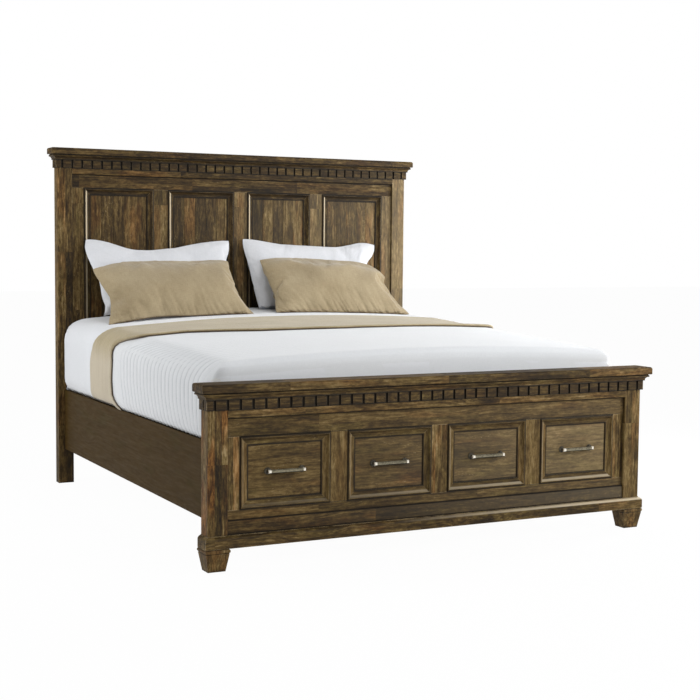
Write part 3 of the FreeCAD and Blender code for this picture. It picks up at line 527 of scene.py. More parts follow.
def plain_wood():
    """Planed softwood inside the bed: soft growth bands and a soft mottle."""
    made, b, shader = new_material("planed softwood")
    here = place(b)
    wave = b.add("TexWave", {"Vector": here, "Scale": 9.0, "Distortion": 5.0, "Detail": 2.0,
                             "Detail Scale": 0.6}, bands_direction="Y").outputs["Fac"]
    soft = b.cloud(here, 40.0, 4.0)
    mixed = b.sum("MULTIPLY_ADD", wave, 0.5, b.sum("MULTIPLY", soft, 0.5))
    tone = b.ramp(mixed, [(0.25, shade(199, 166, 120)), (0.55, shade(216, 187, 143)),
                          (0.8, shade(228, 204, 165))])
    b.put(shader.inputs["Base Color"], tone)
    b.put(shader.inputs["Roughness"], b.step(soft, 0.3, 0.7, 0.5, 0.65))
    b.put(shader.inputs["Normal"], bump(b, mixed, 0.0006, 0.6))
    return made


def slide_steel():
    """Plated steel with fine drawn lines along its length."""
    made, b, shader = new_material("zinc plated steel")
    here = place(b)
    lines = b.cloud(b.vector("MULTIPLY", here, (900.0, 30.0, 900.0)), 1.0, 2.0)
    b.put(shader.inputs["Base Color"], b.ramp(lines, [(0.3, shade(168, 170, 174)),
                                                      (0.7, shade(198, 200, 204))]))
    shader.inputs["Metallic"].default_value = 1.0
    b.put(shader.inputs["Roughness"], b.step(lines, 0.3, 0.7, 0.28, 0.42))
    b.put(shader.inputs["Normal"], bump(b, lines, 0.0002, 0.3))
    return made


def bracket_steel():
    """Steel under a finely pitted black coat."""
    made, b, shader = new_material("black powder coat")
    grit = b.cloud(place(b), 900.0, 2.0)
    b.put(shader.inputs["Base Color"], b.ramp(grit, [(0.3, shade(26, 26, 28)),
                                                     (0.7, shade(42, 42, 44))]))
    b.put(shader.inputs["Roughness"], b.step(grit, 0.3, 0.7, 0.45, 0.6))
    b.put(shader.inputs["Normal"], bump(b, grit, 0.0002, 0.5))
    return made


def pewter(name, low, high, edge_share, painted_end_glints=False):
    """Hammered metal: shallow dents, edges rubbed bright, painted shade on faces turned down, and
    a painted highlight at the bars' ends.
    """
    made, b, shader = new_material(name)
    here = place(b)
    dent = b.add("TexVoronoi", {"Vector": here, "Scale": 130.0, "Smoothness": 0.4},
                 feature="SMOOTH_F1").outputs["Distance"]
    tarnish = b.cloud(here, 60.0, 4.0, 0.6)
    value = b.sum("MULTIPLY_ADD", dent, 0.55, b.sum("MULTIPLY", tarnish, 0.6))
    tone = b.ramp(value, [(0.28, low), (0.70, high)])
    rubbed_and_lit = b.step(b.edge(0.002), 0.02, 0.2, 0.0, edge_share)
    tone = b.blend(rubbed_and_lit, tone, shade(190, 184, 168))
    # Painted highlight: a pale glint at each end of the bars
    if painted_end_glints:
        pair, middle = DRAWER_JOINTS[:2]
        along = b.off(b.off(b.sum("ABSOLUTE", b.split(here)["X"]), pair), middle)
        tone = b.blend(b.step(along, 0.066, 0.071), tone, shade(246, 240, 226))
    # Painted shade on faces turned down
    tone = b.blend(b.turned_to(UP, -0.1, -0.6), tone, shade(24, 20, 13))
    b.put(shader.inputs["Base Color"], tone)
    shader.inputs["Metallic"].default_value = 0.6
    b.put(shader.inputs["Roughness"], b.step(tarnish, 0.3, 0.7, 0.42, 0.6))
    b.put(shader.inputs["Normal"], bump(b, dent, 0.0012, 0.8))
    return made


def cloth(name, light, dark, thread, mottle=0.25, sheen=0.3, on_uv=True, streaks=0.0,
          hollow=None, shaded_ribs=False, paler_sides=None):
    """Woven cloth: crossing threads, slubs, and a slow change of tone over the piece.

    Streaks run along the threads. The hollow shade is the tone of painted shade where ambient
    occlusion finds the cloth shut in, the shaded ribs paint shade into the grooves between ribs,
    and paler_sides is the tone of a cloth's hanging sides.
    """
    made, b, shader = new_material(name)
    coords = b.add("TexCoord").outputs
    where = coords["UV"]
    if not on_uv:
        axes = b.split(coords["Object"])
        where = b.add("CombineXYZ", {"X": axes["X"], "Y": axes["Z"]}).outputs[0]
    got = b.group(WEAVE, {"UV": where, "Thread": thread})
    patch = b.cloud(coords["Object"], 5.0, 3.0)
    value = b.sum("MULTIPLY_ADD", b.sum("SUBTRACT", got["Slub"], 0.5), 1.2, 0.5)
    value = b.sum("MULTIPLY_ADD", b.sum("SUBTRACT", patch, 0.5), mottle * 2, value)
    if streaks:
        lines = b.cloud(b.vector("MULTIPLY", where, (1.6, 90.0, 1.0)), 1.0, 3.0)
        value = b.sum("MULTIPLY_ADD", b.sum("SUBTRACT", lines, 0.5), streaks, value)
    tone = b.ramp(value, [(0.15, dark), (0.85, light)])
    if paler_sides:
        across = b.sum("ABSOLUTE", b.split(where)["X"])
        tone = b.blend(b.step(across, 0.96, 1.10, 0.0, 0.4), tone, paler_sides)
    # Painted shade in the grooves between the coverlet's ribs
    if shaded_ribs:
        rib = b.add("Attribute", attribute_name="rib").outputs["Fac"]
        tone = b.blend(b.step(rib, 0.80, 0.05, 0.0, 0.55), tone, shade(150, 154, 160))
    # Painted shade where ambient occlusion finds the cloth shut in
    if hollow:
        shut = b.add("AmbientOcclusion", {"Distance": 0.03}, samples=8).outputs["AO"]
        tone = b.blend(b.step(shut, 0.90, 0.50), tone, hollow)
    b.put(shader.inputs["Base Color"], tone)
    shader.inputs["Roughness"].default_value = 0.92
    shader.inputs["Specular IOR Level"].default_value = 0.15
    shader.inputs["Sheen Weight"].default_value = sheen
    shader.inputs["Sheen Roughness"].default_value = 0.5
    b.put(shader.inputs["Normal"], bump(b, got["Height"], 0.0004, 0.5))
    return made


dress_headboard()
dress_footboard()
dress_drawers_and_rails()
dress(plain_wood(), "slats", "slat_ledgers", "centre_beam", "support_legs", "drawer_bay_panels",
      *both("drawer_box"), *both("drawer_floor"))
dress(slide_steel(), "slide_cabinet_members", "rail_bolts", *both("slide_middle"),
      *both("drawer_slide"), *both("pull_screws"))
dress(bracket_steel(), "rail_brackets")
# The bars get painted glints at their ends
dress(pewter("hammered pewter", shade(82, 77, 62), shade(134, 127, 106), 0.25, painted_end_glints=True),
      *both("pull_bars"))
dress(pewter("tarnished pewter", shade(26, 22, 16), shade(74, 68, 55), 0.12),
      *both("pull_posts"))

WHITE_SHEET = cloth("fitted sheet cotton", shade(238, 240, 243), shade(222, 225, 229), 0.0006,
                    mottle=0.1)
TICKING = cloth("mattress ticking", shade(232, 232, 230), shade(214, 214, 212), 0.0012,
                on_uv=False)
# The coverlet's rib grooves get painted shade
COVERLET = cloth("coverlet cotton", shade(238, 240, 242), shade(220, 223, 226), 0.0016,
                 mottle=0.1, shaded_ribs=True)
# The hollow tones of the blanket, pillows and shams are painted shade where the cloth is shut in
TAN_THROW = cloth("tan blanket linen", shade(190, 176, 142), shade(157, 141, 107), 0.0012,
                  streaks=0.9, hollow=shade(84, 68, 48), paler_sides=shade(228, 219, 205))
TAN_PILLOW = cloth("tan pillow linen", shade(184, 168, 137), shade(138, 122, 92), 0.0012,
                   on_uv=False, mottle=0.4, hollow=shade(78, 62, 42))
SHAM = cloth("sham cotton", shade(231, 232, 236), shade(206, 209, 214), 0.0010, on_uv=False,
             hollow=shade(140, 144, 152))


def new_piece(bm, name, material):
    """A smooth piece in the scene, made from a bmesh, which it uses up."""
    mesh = bpy.data.meshes.new(name)
    bm.to_mesh(mesh)
    bm.free()
    mesh.materials.append(material)
    for face in mesh.polygons:
        face.use_smooth = True
    made = bpy.data.objects.new(name, mesh)
    bpy.context.scene.collection.objects.link(made)
    return made


def spread(*runs):
    """Stations from runs of (start, end, number of steps), without repeats."""
    out = [runs[0][0]]
    for start, end, count in runs:
        out += [start + (end - start) * step / count for step in range(1, count + 1)]
    return out


def across_profile(turn, grow):
    """Place across the bed, drop below its middle, and share of the side wall, at a turn."""
    side = -1 if turn < 0 else 1
    share = abs(turn)
    inner = HALF + grow - SHOULDER_RUN
    if share <= FLAT_TURN:
        x = inner * share / FLAT_TURN
        return side * x, CROWN_SAG * (x / inner) ** 2, 0.0
    if share <= 1:
        angle = (share - FLAT_TURN) / SHOULDER_TURN * math.pi / 2
        x = inner + SHOULDER_RUN * math.sin(angle)
        return side * x, CROWN_SAG + SHOULDER_RISE * (1 - math.cos(angle)), 0.0
    return side * (HALF + grow), CROWN_SAG + SHOULDER_RISE, share - 1


def tipped(turn, head_share):
    """The filling lies a little higher on the right of the head end than on its left."""
    side = -1 if turn < 0 else 1
    slope = min(abs(turn) / FLAT_TURN, 1.0) * (1 - eased((abs(turn) - FLAT_TURN) / SHOULDER_TURN))
    return side * RIGHT_LIFT * slope * head_share


def top_at(x, y):
    """Height of the mattress's top at a place."""
    inner = HALF - SHOULDER_RUN
    over = min(max(abs(x) - inner, 0.0) / SHOULDER_RUN, 1.0)
    turn = min(abs(x) / inner, 1.0) * FLAT_TURN + math.asin(over) / (math.pi / 2) * SHOULDER_TURN
    return bed_point(math.copysign(turn, x), y, 0.0, 0.0).z


def end_drop(away):
    """How far the rounding at an end lowers the top, at a distance from that end."""
    if away >= END_ROUND:
        return 0.0
    rise = math.sqrt(max(END_ROUND ** 2 - (END_ROUND - away) ** 2, 0.0))
    return max(0.0, END_ROUND - END_LIFT - rise)


def bed_point(turn, y, wall, grow):
    """A point of the bed's form, grown by a height.

    Wall is 0 on top and 1 at the hem of an end's drop.
    """
    x, drop, side_wall = across_profile(turn, grow)
    head_end = HEAD_END + grow
    foot_end = FOOT_END - grow
    y = min(max(y, foot_end), head_end)
    share = (head_end - y) / (head_end - foot_end)
    crowned = min(drop, CROWN_SAG)
    ended = end_drop(min(head_end - y, y - foot_end))
    blunt = 3 if y < 0 else 8
    low = ((drop - crowned) ** blunt + ended ** blunt) ** (1 / blunt)
    z = CROWN + grow - FALL * share - crowned - low + tipped(turn, 1 - share)
    z += max(side_wall, wall) * (HEM - z)
    tuck = TUCK * (max(0.0, TUCK_FROM - z) / (TUCK_FROM - HEM)) ** 2
    if side_wall:
        x -= math.copysign(tuck, x)
    if wall:
        y += tuck if y < 0 else -tuck
    for end, inward, corner in ((head_end, -1, HEAD_CORNER), (foot_end, 1, FOOT_CORNER)):
        radius = corner + grow
        inner_x = HALF + grow - radius
        centre = end + inward * radius
        dx = abs(x) - inner_x
        dy = (y - centre) * -inward
        if dx > 0 and dy > 0:
            reach = max(dx, dy)
            length = math.hypot(dx, dy)
            x = math.copysign(inner_x + dx * reach / length, x)
            y = centre - inward * dy * reach / length
    return Vector((x, y, z))


TURNS = spread((-2, -1, SIDE_STEPS), (-1, -FLAT_TURN, 8), (-FLAT_TURN, FLAT_TURN, 44),
               (FLAT_TURN, 1, 8), (1, 2, SIDE_STEPS))


def cloth_grid(rows):
    """A flat grid of turns by rows, the two indices of each vertex, and its outer corners."""
    bm = bmesh.new()
    bmesh.ops.create_grid(bm, x_segments=len(TURNS) - 1, y_segments=len(rows) - 1, size=1.0)
    bm.loops.layers.uv.new("UVMap")
    for label in ("turn", "rib"):
        bm.verts.layers.float.new(label)
    place_of = {}
    for vertex in bm.verts:
        i = round((vertex.co.x + 1) / 2 * (len(TURNS) - 1))
        j = round((vertex.co.y + 1) / 2 * (len(rows) - 1))
        place_of[vertex] = (i, j)
    corners = []
    for face in bm.faces:
        places = [place_of[vertex] for vertex in face.verts]
        on_side = all(abs(TURNS[i]) >= 1 - 1e-6 for i, j in places)
        on_end = all(rows[j][2] for i, j in places)
        if on_side and on_end:
            corners.append(face)
    return bm, place_of, corners


def draped(name, material, rows, thickness, lift, edge=None, raised=None, mark=None):
    """A cloth over the bed. Rows are (y, wall, end or not, height over the mattress).

    Lift moves a point along the cloth's own normal, edge moves a row's y, raised adds
    height over the mattress, and mark gives each point its value for the ribs.
    """
    bm, place_of, corners = cloth_grid(rows)
    uv_layer = bm.loops.layers.uv["UVMap"]
    turn_of = bm.verts.layers.float["turn"]
    rib_of = bm.verts.layers.float["rib"]
    flat_place = {}
    for vertex, (i, j) in place_of.items():
        turn = TURNS[i]
        y, wall, on_end, grow = rows[j]
        if edge:
            y = edge(turn, y)
        if raised:
            grow += raised(turn, y)
        vertex.co = bed_point(turn, y, wall, grow)
        vertex[turn_of] = turn
        flat_place[vertex] = (across_length(turn), -y + wall * 0.3)
    bmesh.ops.delete(bm, geom=corners, context="FACES")
    for face in bm.faces:
        for loop in face.loops:
            loop[uv_layer].uv = flat_place[loop.vert]
    bm.normal_update()
    upward = sum(face.normal.z for face in bm.faces if face.calc_center_median().z > 0.8)
    if upward < 0:
        bmesh.ops.reverse_faces(bm, faces=bm.faces)
    bmesh.ops.remove_doubles(bm, verts=bm.verts, dist=1e-5)
    bm.normal_update()
    for vertex in bm.verts:
        at = vertex.co.copy()
        if mark:
            vertex[rib_of] = mark(at, vertex[turn_of])
        vertex.co = at + vertex.normal * lift(at, vertex[turn_of])
    bm.verts.layers.float.remove(bm.verts.layers.float["turn"])
    made = new_piece(bm, name, material)
    wall_of_cloth = made.modifiers.new("thickness", "SOLIDIFY")
    wall_of_cloth.thickness = thickness
    wall_of_cloth.offset = -1
    return made


def across_length(turn):
    """Length along the cloth from the bed's middle to a turn."""
    side = -1 if turn < 0 else 1
    share = abs(turn)
    inner = HALF - SHOULDER_RUN
    if share <= FLAT_TURN:
        return side * inner * share / FLAT_TURN
    if share <= 1:
        return side * (inner + SHOULDER_CLOTH * (share - FLAT_TURN) / SHOULDER_TURN)
    return side * (inner + SHOULDER_CLOTH + WALL_CLOTH * (share - 1))


def eased(value):
    """0 to 1 with soft ends."""
    value = min(max(value, 0.0), 1.0)
    return value * value * (3 - 2 * value)


def bow(turn):
    """How far the coverlet's ribs lean towards the foot near the rail."""
    return 0.055 * eased((abs(turn) - 1.2) / 0.85) ** 1.3


# Where the blanket's band ends towards the head, and the coverlet under its front edge, as
# (turn, place along the bed)
BAND_BACK = [(-2.0, 0.556), (-1.915, 0.566), (-1.819, 0.573), (-1.524, 0.581), (-1.287, 0.584),
             (-1.1, 0.566), (-0.979, 0.541), (-0.939, 0.526), (-0.904, 0.504), (-0.869, 0.484),
             (-0.8, 0.47), (-0.6, 0.472), (-0.4, 0.485), (-0.283, 0.499), (-0.2, 0.491),
             (-0.1, 0.484), (0.1, 0.482), (0.4, 0.478), (0.7, 0.474), (0.8, 0.472), (0.87, 0.484),
             (0.94, 0.522), (1.0, 0.545), (1.3, 0.578), (1.8, 0.57), (2.0, 0.556)]
COVER_EDGE = [(-2.0, 0.1), (-1.92, 0.138), (-1.751, 0.198), (-1.463, 0.213), (-1.2, 0.204),
              (-1.061, 0.199), (-0.965, 0.206), (-0.935, 0.19), (-0.91, 0.142), (-0.893, 0.083),
              (-0.87, 0.024), (-0.845, -0.006), (-0.78, -0.012), (-0.661, -0.008),
              (-0.533, -0.07), (-0.381, -0.148), (-0.2, -0.178), (-0.023, -0.192), (0.2, -0.168),
              (0.471, -0.115), (0.755, -0.069), (0.84, -0.05), (0.89, 0.01), (0.92, 0.1),
              (0.96, 0.17), (1.06, 0.19), (1.46, 0.2), (1.75, 0.185), (2.0, 0.1)]


def soft_line(points, soft):
    """A function of turn through the points, with its bends eased over the given width."""
    turns = np.linspace(-2.2, 2.2, 881)
    values = np.interp(turns, [p[0] for p in points], [p[1] for p in points])
    weights = np.exp(-(np.linspace(-3, 3, 61) * 0.05 / soft / 2) ** 2)
    weights /= weights.sum()
    padded = np.concatenate([np.full(30, values[0]), values, np.full(30, values[-1])])
    values = np.convolve(padded, weights, "valid")
    return lambda turn: float(np.interp(turn, turns, values))


def make_sheet():
    """The fitted sheet, over the whole mattress, with soft creases where it is bare."""
    over = 0.0012
    rows = [(HEAD_END, 1 - k / SIDE_STEPS, True, over) for k in range(SIDE_STEPS)]
    head_round = HEAD_END - END_ROUND
    foot_round = FOOT_END + END_ROUND
    rows += [(y, 0.0, abs(y - HEAD_END) < 1e-6 or abs(y - FOOT_END) < 1e-6, over)
             for y in spread((HEAD_END, head_round, 7), (head_round, foot_round, 64),
                             (foot_round, FOOT_END, 7))]
    rows += [(FOOT_END, k / SIDE_STEPS, True, over) for k in range(1, SIDE_STEPS + 1)]

    def crease(at, turn):
        near = eased((abs(turn) - 1.15) / 0.5)
        wave = noise.noise(Vector((at.y * 34 + at.z * 9, 3.0, at.z * 1.4)))
        bared = eased((at.y - 0.60) / 0.05)
        belly = bared * eased((0.86 - at.z) / 0.12) * eased((at.z - 0.50) / 0.05)
        return 0.0026 * wave * near * bared + 0.010 * belly + 0.001 * noise.noise(at * 4.0)

    made = draped("fitted_sheet", WHITE_SHEET, rows, 0.0008, lift=crease)
    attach(made, "root")
    return made


def rolled_rim(start, radius, base):
    """Rows of a thick edge that rolls under: from below it, round its front, to its top."""
    rows = []
    for step in range(9):
        angle = math.radians(-75 + 165 * step / 8)
        rows.append((start - radius + radius * math.cos(angle), 0.0, False,
                     base + radius * (1 + math.sin(angle))))
    return rows


BACK_LINE = soft_line(BAND_BACK, 0.02)
COVER_LINE = soft_line(COVER_EDGE, 0.009)


def make_band():
    """The blanket's band; its thick front edge lies over the coverlet's end."""
    back = 0.5
    front = 0.0
    thin = 0.0032
    thick = 0.0068
    height = 0.0078
    over_coverlet = 0.0166
    margin = 0.02
    rows = rolled_rim(back, thin, 0.0014)
    rows += [(y, 0.0, False, height) for y in spread((back - thin, back - margin, 2),
                                                     (back - margin, 0.08, 40),
                                                     (0.08, front + thick, 18))[1:]]
    for step in range(1, 10):
        angle = math.radians(90 - 165 * step / 9)
        rows.append((front + thick * (1 - math.cos(angle)), 0.0, False,
                     height - thick * (1 - math.sin(angle))))

    def edge(turn, y):
        behind = BACK_LINE(turn) + thin
        ahead = COVER_LINE(turn) - 0.003
        if y >= back - margin:
            return behind + y - back
        if y <= front + margin:
            return ahead + y - front
        share = (back - margin - y) / (back - front - 2 * margin)
        return (behind - margin) * (1 - share) + (ahead + margin) * share

    def raised(turn, y):
        return over_coverlet * (1 - eased((y - COVER_LINE(turn) - 0.03) / 0.06))

    def lift(at, turn):
        behind = BACK_LINE(turn) - at.y
        folds = noise.noise(Vector((turn * 5, at.y * 34, 1.0)))
        fine = noise.noise(Vector((turn * 22, at.y * 70, 5.0)))
        soft = 0.0018 * folds + 0.0010 * fine * eased(1 - behind / 0.12)
        return soft * eased(behind / 0.02) * eased((at.y - COVER_LINE(turn) - 0.01) / 0.02)

    made = draped("blanket_band", TAN_THROW, rows, 0.002, edge=edge, raised=raised, lift=lift)
    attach(made, "root")
    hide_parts("blanket")
    return made


def make_coverlet():
    """The white coverlet, with ribs across the bed that sink in most on its sides."""
    start = 0.0
    radius = 0.0027
    height = 0.0105
    rib_pitch = 0.046
    rib_depth = 0.0062
    foot_round = FOOT_END + END_ROUND
    rows = rolled_rim(start, radius, 0.0051)
    run = start - radius - foot_round
    rows += [(start - radius - run * step / 180, 0.0, False, height) for step in range(1, 181)]
    rows += [(foot_round - END_ROUND * step / 12, 0.0, step == 12, height)
             for step in range(1, 13)]
    rows += [(FOOT_END, k / SIDE_STEPS, True, height) for k in range(1, SIDE_STEPS + 1)]

    def edge(turn, y):
        share = min(max((y - foot_round) / (-0.02 - foot_round), 0.0), 1.0)
        return y + (COVER_LINE(turn) + 0.035) * share

    def rib_at(at, turn):
        lean = bow(turn) * eased((at.y - FOOT_END - 0.03) / 0.2)
        rib = abs(math.sin(math.pi * (at.y + lean) / rib_pitch)) ** 0.6
        away = COVER_LINE(turn) - at.y
        shown = eased((at.y - FOOT_END - 0.03) / 0.06) * eased((away - 0.05) / 0.09)
        shown *= 0.2 + 0.8 * eased((abs(turn) - 0.7) / 0.2)
        return 1 - (1 - rib) * shown

    def lift(at, turn):
        return rib_depth * (rib_at(at, turn) - 1)

    made = draped("ribbed_coverlet", COVERLET, rows, 0.003, edge=edge, lift=lift, mark=rib_at)
    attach(made, "root")
    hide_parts("coverlet")
    return made


def settle(obj):
    """Apply every modifier, so that the mesh is final."""
    bpy.context.view_layer.update()
    graph = bpy.context.evaluated_depsgraph_get()
    final = bpy.data.meshes.new_from_object(obj.evaluated_get(graph))
    obj.modifiers.clear()
    obj.data = final


def rounded_copy(node, name, material):
    """A rounded padded piece from a solid's own form, a little inside it."""
    bm = bmesh.new()
    bm.from_mesh(nodes[node].data)
    bmesh.ops.remove_doubles(bm, verts=bm.verts, dist=1e-5)
    made = new_piece(bm, name, material)
    for kind, values in (("REMESH", {"mode": "VOXEL", "voxel_size": 0.02,
                                     "use_smooth_shade": True}),
                         ("SMOOTH", {"iterations": 6}),
                         ("DISPLACE", {"strength": -0.003, "mid_level": 0.0})):
        modifier = made.modifiers.new(kind.lower(), kind)
        for key, value in values.items():
            setattr(modifier, key, value)
    settle(made)
    return made


def make_mattress():
    """Mattress and foundation, kept below the sheet."""
    for node, name in (("mattress", "mattress_core"), ("foundation", "box_base")):
        made = rounded_copy(node, name, TICKING)
        for vertex in made.data.vertices:
            vertex.co.z = min(vertex.co.z, top_at(vertex.co.x, vertex.co.y) - 0.004)
        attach(made, "root")
        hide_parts(node)


COLUMNS = 64
ROWS = 34
HALF_WIDE = 0.4
HALF_HIGH = 0.21
FILLING_FRAMES = 20

# Lean is in degrees, crease and lumps are depths, and reach is how far the creases run in
# from the lower seam
SHAM_FORM = dict(lean=23, thickness=0.14, crease=0.004, reach=0.05, lumps=0.006, flange=True,
                 cloth=SHAM, slot="white_sham")
PILLOW_FORM = dict(lean=41, thickness=0.15, crease=0.006, reach=0.11, lumps=0.02, flange=False,
                   cloth=TAN_PILLOW, slot="tan_linen")

# Each pillow's rim in its own plane: bottom and top from the left, sides from below
PILLOWS = {
    "sham_left": dict(
        SHAM_FORM, at=(-0.486, 0.881, 0.850),
        bottom=[(-0.349, 0.022), (-0.25, 0.045), (0.0, 0.05), (0.25, 0.048), (0.385, 0.04)],
        right=[(0.385, 0.04), (0.37, 0.1), (0.36, 0.18), (0.366, 0.27), (0.38, 0.339),
               (0.401, 0.38), (0.408, 0.41), (0.414, 0.456)],
        top=[(-0.389, 0.452), (-0.362, 0.456), (-0.284, 0.443), (-0.232, 0.426), (-0.18, 0.407),
             (-0.127, 0.396), (-0.073, 0.394), (-0.017, 0.397), (0.096, 0.409), (0.213, 0.434),
             (0.33, 0.45), (0.414, 0.456)],
        left=[(-0.349, 0.022), (-0.331, 0.055), (-0.327, 0.087), (-0.339, 0.12), (-0.34, 0.175),
              (-0.343, 0.219), (-0.374, 0.308), (-0.39, 0.352), (-0.4, 0.402), (-0.389, 0.452)]),
    "sham_right": dict(
        SHAM_FORM, at=(0.394, 0.881, 0.850),
        bottom=[(-0.354, 0.05), (-0.2, 0.052), (0.0, 0.052), (0.2, 0.05), (0.365, 0.044)],
        right=[(0.365, 0.044), (0.35, 0.1), (0.34, 0.17), (0.343, 0.26), (0.356, 0.321),
               (0.399, 0.361), (0.42, 0.398), (0.431, 0.438)],
        top=[(-0.389, 0.466), (-0.342, 0.464), (-0.255, 0.45), (-0.167, 0.436), (-0.076, 0.431),
             (0.016, 0.427), (0.109, 0.423), (0.171, 0.422), (0.236, 0.43), (0.303, 0.446),
             (0.369, 0.452), (0.431, 0.438)],
        left=[(-0.354, 0.05), (-0.362, 0.123), (-0.369, 0.193), (-0.375, 0.298), (-0.387, 0.369),
              (-0.393, 0.428), (-0.389, 0.466)]),
    "pillow_left": dict(
        PILLOW_FORM, at=(-0.4585, 0.651, 0.848),
        bottom=[(-0.426, -0.022), (-0.359, 0.0), (-0.278, 0.017), (-0.197, 0.032),
                (-0.116, 0.039), (0.045, 0.041), (0.21, 0.042), (0.381, 0.042)],
        right=[(0.381, 0.042), (0.364, 0.076), (0.341, 0.116), (0.326, 0.163), (0.316, 0.231),
               (0.319, 0.286), (0.315, 0.348), (0.326, 0.41)],
        top=[(-0.432, 0.354), (-0.394, 0.362), (-0.359, 0.378), (-0.303, 0.394), (-0.22, 0.408),
             (-0.139, 0.409), (-0.03, 0.412), (0.08, 0.409), (0.193, 0.413), (0.274, 0.419),
             (0.326, 0.41)],
        left=[(-0.426, -0.022), (-0.398, 0.057), (-0.383, 0.12), (-0.378, 0.171),
              (-0.392, 0.216), (-0.411, 0.275), (-0.432, 0.354)]),
    "pillow_right": dict(
        PILLOW_FORM, at=(0.4245, 0.651, 0.848),
        bottom=[(-0.382, 0.053), (-0.273, 0.051), (-0.155, 0.052), (-0.039, 0.046),
                (0.14, 0.035), (0.323, 0.026), (0.422, 0.028)],
        right=[(0.422, 0.028), (0.402, 0.067), (0.376, 0.103), (0.351, 0.174), (0.334, 0.254),
               (0.356, 0.297)],
        top=[(-0.378, 0.418), (-0.327, 0.429), (-0.218, 0.437), (-0.128, 0.435), (-0.038, 0.43),
             (0.082, 0.42), (0.175, 0.417), (0.234, 0.406), (0.28, 0.392), (0.315, 0.363),
             (0.343, 0.333), (0.356, 0.297)],
        left=[(-0.382, 0.053), (-0.369, 0.12), (-0.353, 0.175), (-0.359, 0.216),
              (-0.364, 0.278), (-0.368, 0.348), (-0.378, 0.418)]),
}


def side_line(points, steps):
    """Even stations along a line of points, with its bends eased."""
    points = np.array(points, dtype=float)
    for soften in (20, 0):
        run = np.concatenate([[0.0], np.cumsum(np.hypot(*np.diff(points, axis=0).T))])
        at = np.linspace(0, run[-1], 161 if soften else steps + 1)
        points = np.stack([np.interp(at, run, points[:, k]) for k in (0, 1)], axis=1)
        for _ in range(soften):
            points[1:-1] = (points[:-2] + 2 * points[1:-1] + points[2:]) / 4
    return points


def net(bottom, right, top, left):
    """Points between four sides that meet at the corners."""
    a = np.linspace(0, 1, len(bottom))[:, None, None]
    b = np.linspace(0, 1, len(left))[None, :, None]
    level = (1 - b) * bottom[:, None] + b * top[:, None]
    upright = (1 - a) * left[None] + a * right[None]
    low = (1 - a) * bottom[0] + a * bottom[-1]
    high = (1 - a) * top[0] + a * top[-1]
    return level + upright - (1 - b) * low - b * high


def sewn_cover(name, grid, material):
    """Two layers of cloth sewn together round their rim, x across, z up and the front to -y."""
    bm = bmesh.new()
    bm.verts.layers.float.new("across")
    bm.verts.layers.float.new("up")
    across = bm.verts.layers.float["across"]
    up = bm.verts.layers.float["up"]
    bmesh.ops.create_grid(bm, x_segments=COLUMNS, y_segments=ROWS, size=1.0)
    again = bmesh.ops.duplicate(bm, geom=bm.verts[:] + bm.edges[:] + bm.faces[:])
    second = {v for v in again["geom"] if isinstance(v, bmesh.types.BMVert)}
    bmesh.ops.reverse_faces(bm, faces=[f for f in bm.faces if f.verts[0] in second])
    for vertex in bm.verts:
        u, w = vertex.co.x, vertex.co.y
        vertex[across] = u
        vertex[up] = w
        puff = math.sqrt(max((1 - u ** 4) * (1 - abs(w) ** 3), 0.0))
        x, z = grid[round((u + 1) / 2 * COLUMNS), round((w + 1) / 2 * ROWS)]
        vertex.co = (x, (1 if vertex in second else -1) * 0.012 * puff, z)
    bmesh.ops.remove_doubles(bm, verts=bm.verts, dist=1e-6)
    bmesh.ops.recalc_face_normals(bm, faces=bm.faces)
    return new_piece(bm, name, material)


def stuff(made):
    """Fill a cover by simulated pressure, which draws its sides in and puckers its seams."""
    filling = made.modifiers.new("filling", "CLOTH")
    settings = filling.settings
    settings.quality = 5
    settings.mass = 0.3
    settings.tension_stiffness = 20
    settings.compression_stiffness = 20
    settings.shear_stiffness = 6
    settings.bending_stiffness = 0.4
    settings.use_pressure = True
    settings.uniform_pressure_force = 4
    settings.effector_weights.gravity = 0
    filling.collision_settings.use_collision = False
    filling.point_cache.frame_end = FILLING_FRAMES
    for number in range(1, FILLING_FRAMES + 1):
        bpy.context.scene.frame_set(number)
    settle(made)
    bpy.context.scene.frame_set(1)


def read_floats(mesh, name):
    values = np.empty(len(mesh.vertices), dtype=np.float32)
    mesh.attributes[name].data.foreach_get("value", values)
    return values.astype(float)


def pucker(u, w, seed, reach):
    """Depth of the creases that run inwards from the seams, 0 at a seam itself."""
    total = 0.0
    sides = ((u * 1.9, (1 + w) * HALF_HIGH, reach), (u * 1.9, (1 - w) * HALF_HIGH, 0.045),
             (w, (1 + u) * HALF_WIDE, 0.10), (w, (1 - u) * HALF_WIDE, 0.10))
    for number, (along, inward, length) in enumerate(sides):
        line = noise.noise(Vector((along * 7 + inward * 12, inward * 4, seed + number * 7)))
        sunk = max(0.0, 1 - abs(line) / 0.25)
        total += sunk * (1 - math.exp(-inward / 0.012)) * math.exp(-inward / length)
    return total


def trued(points, grid, u, w):
    """Points of a filled cover, moved in its plane so that its rim has its outline again."""
    column = np.rint((u + 1) / 2 * COLUMNS).astype(int)
    row = np.rint((w + 1) / 2 * ROWS).astype(int)
    now = grid.copy()
    rim = (column % COLUMNS == 0) | (row % ROWS == 0)
    now[column[rim], row[rim]] = points[rim][:, (0, 2)]
    lack = grid - now
    lack = net(bottom=lack[:, 0], right=lack[-1], top=lack[:, -1], left=lack[0])
    points = points.copy()
    points[:, (0, 2)] += lack[column, row]
    return points


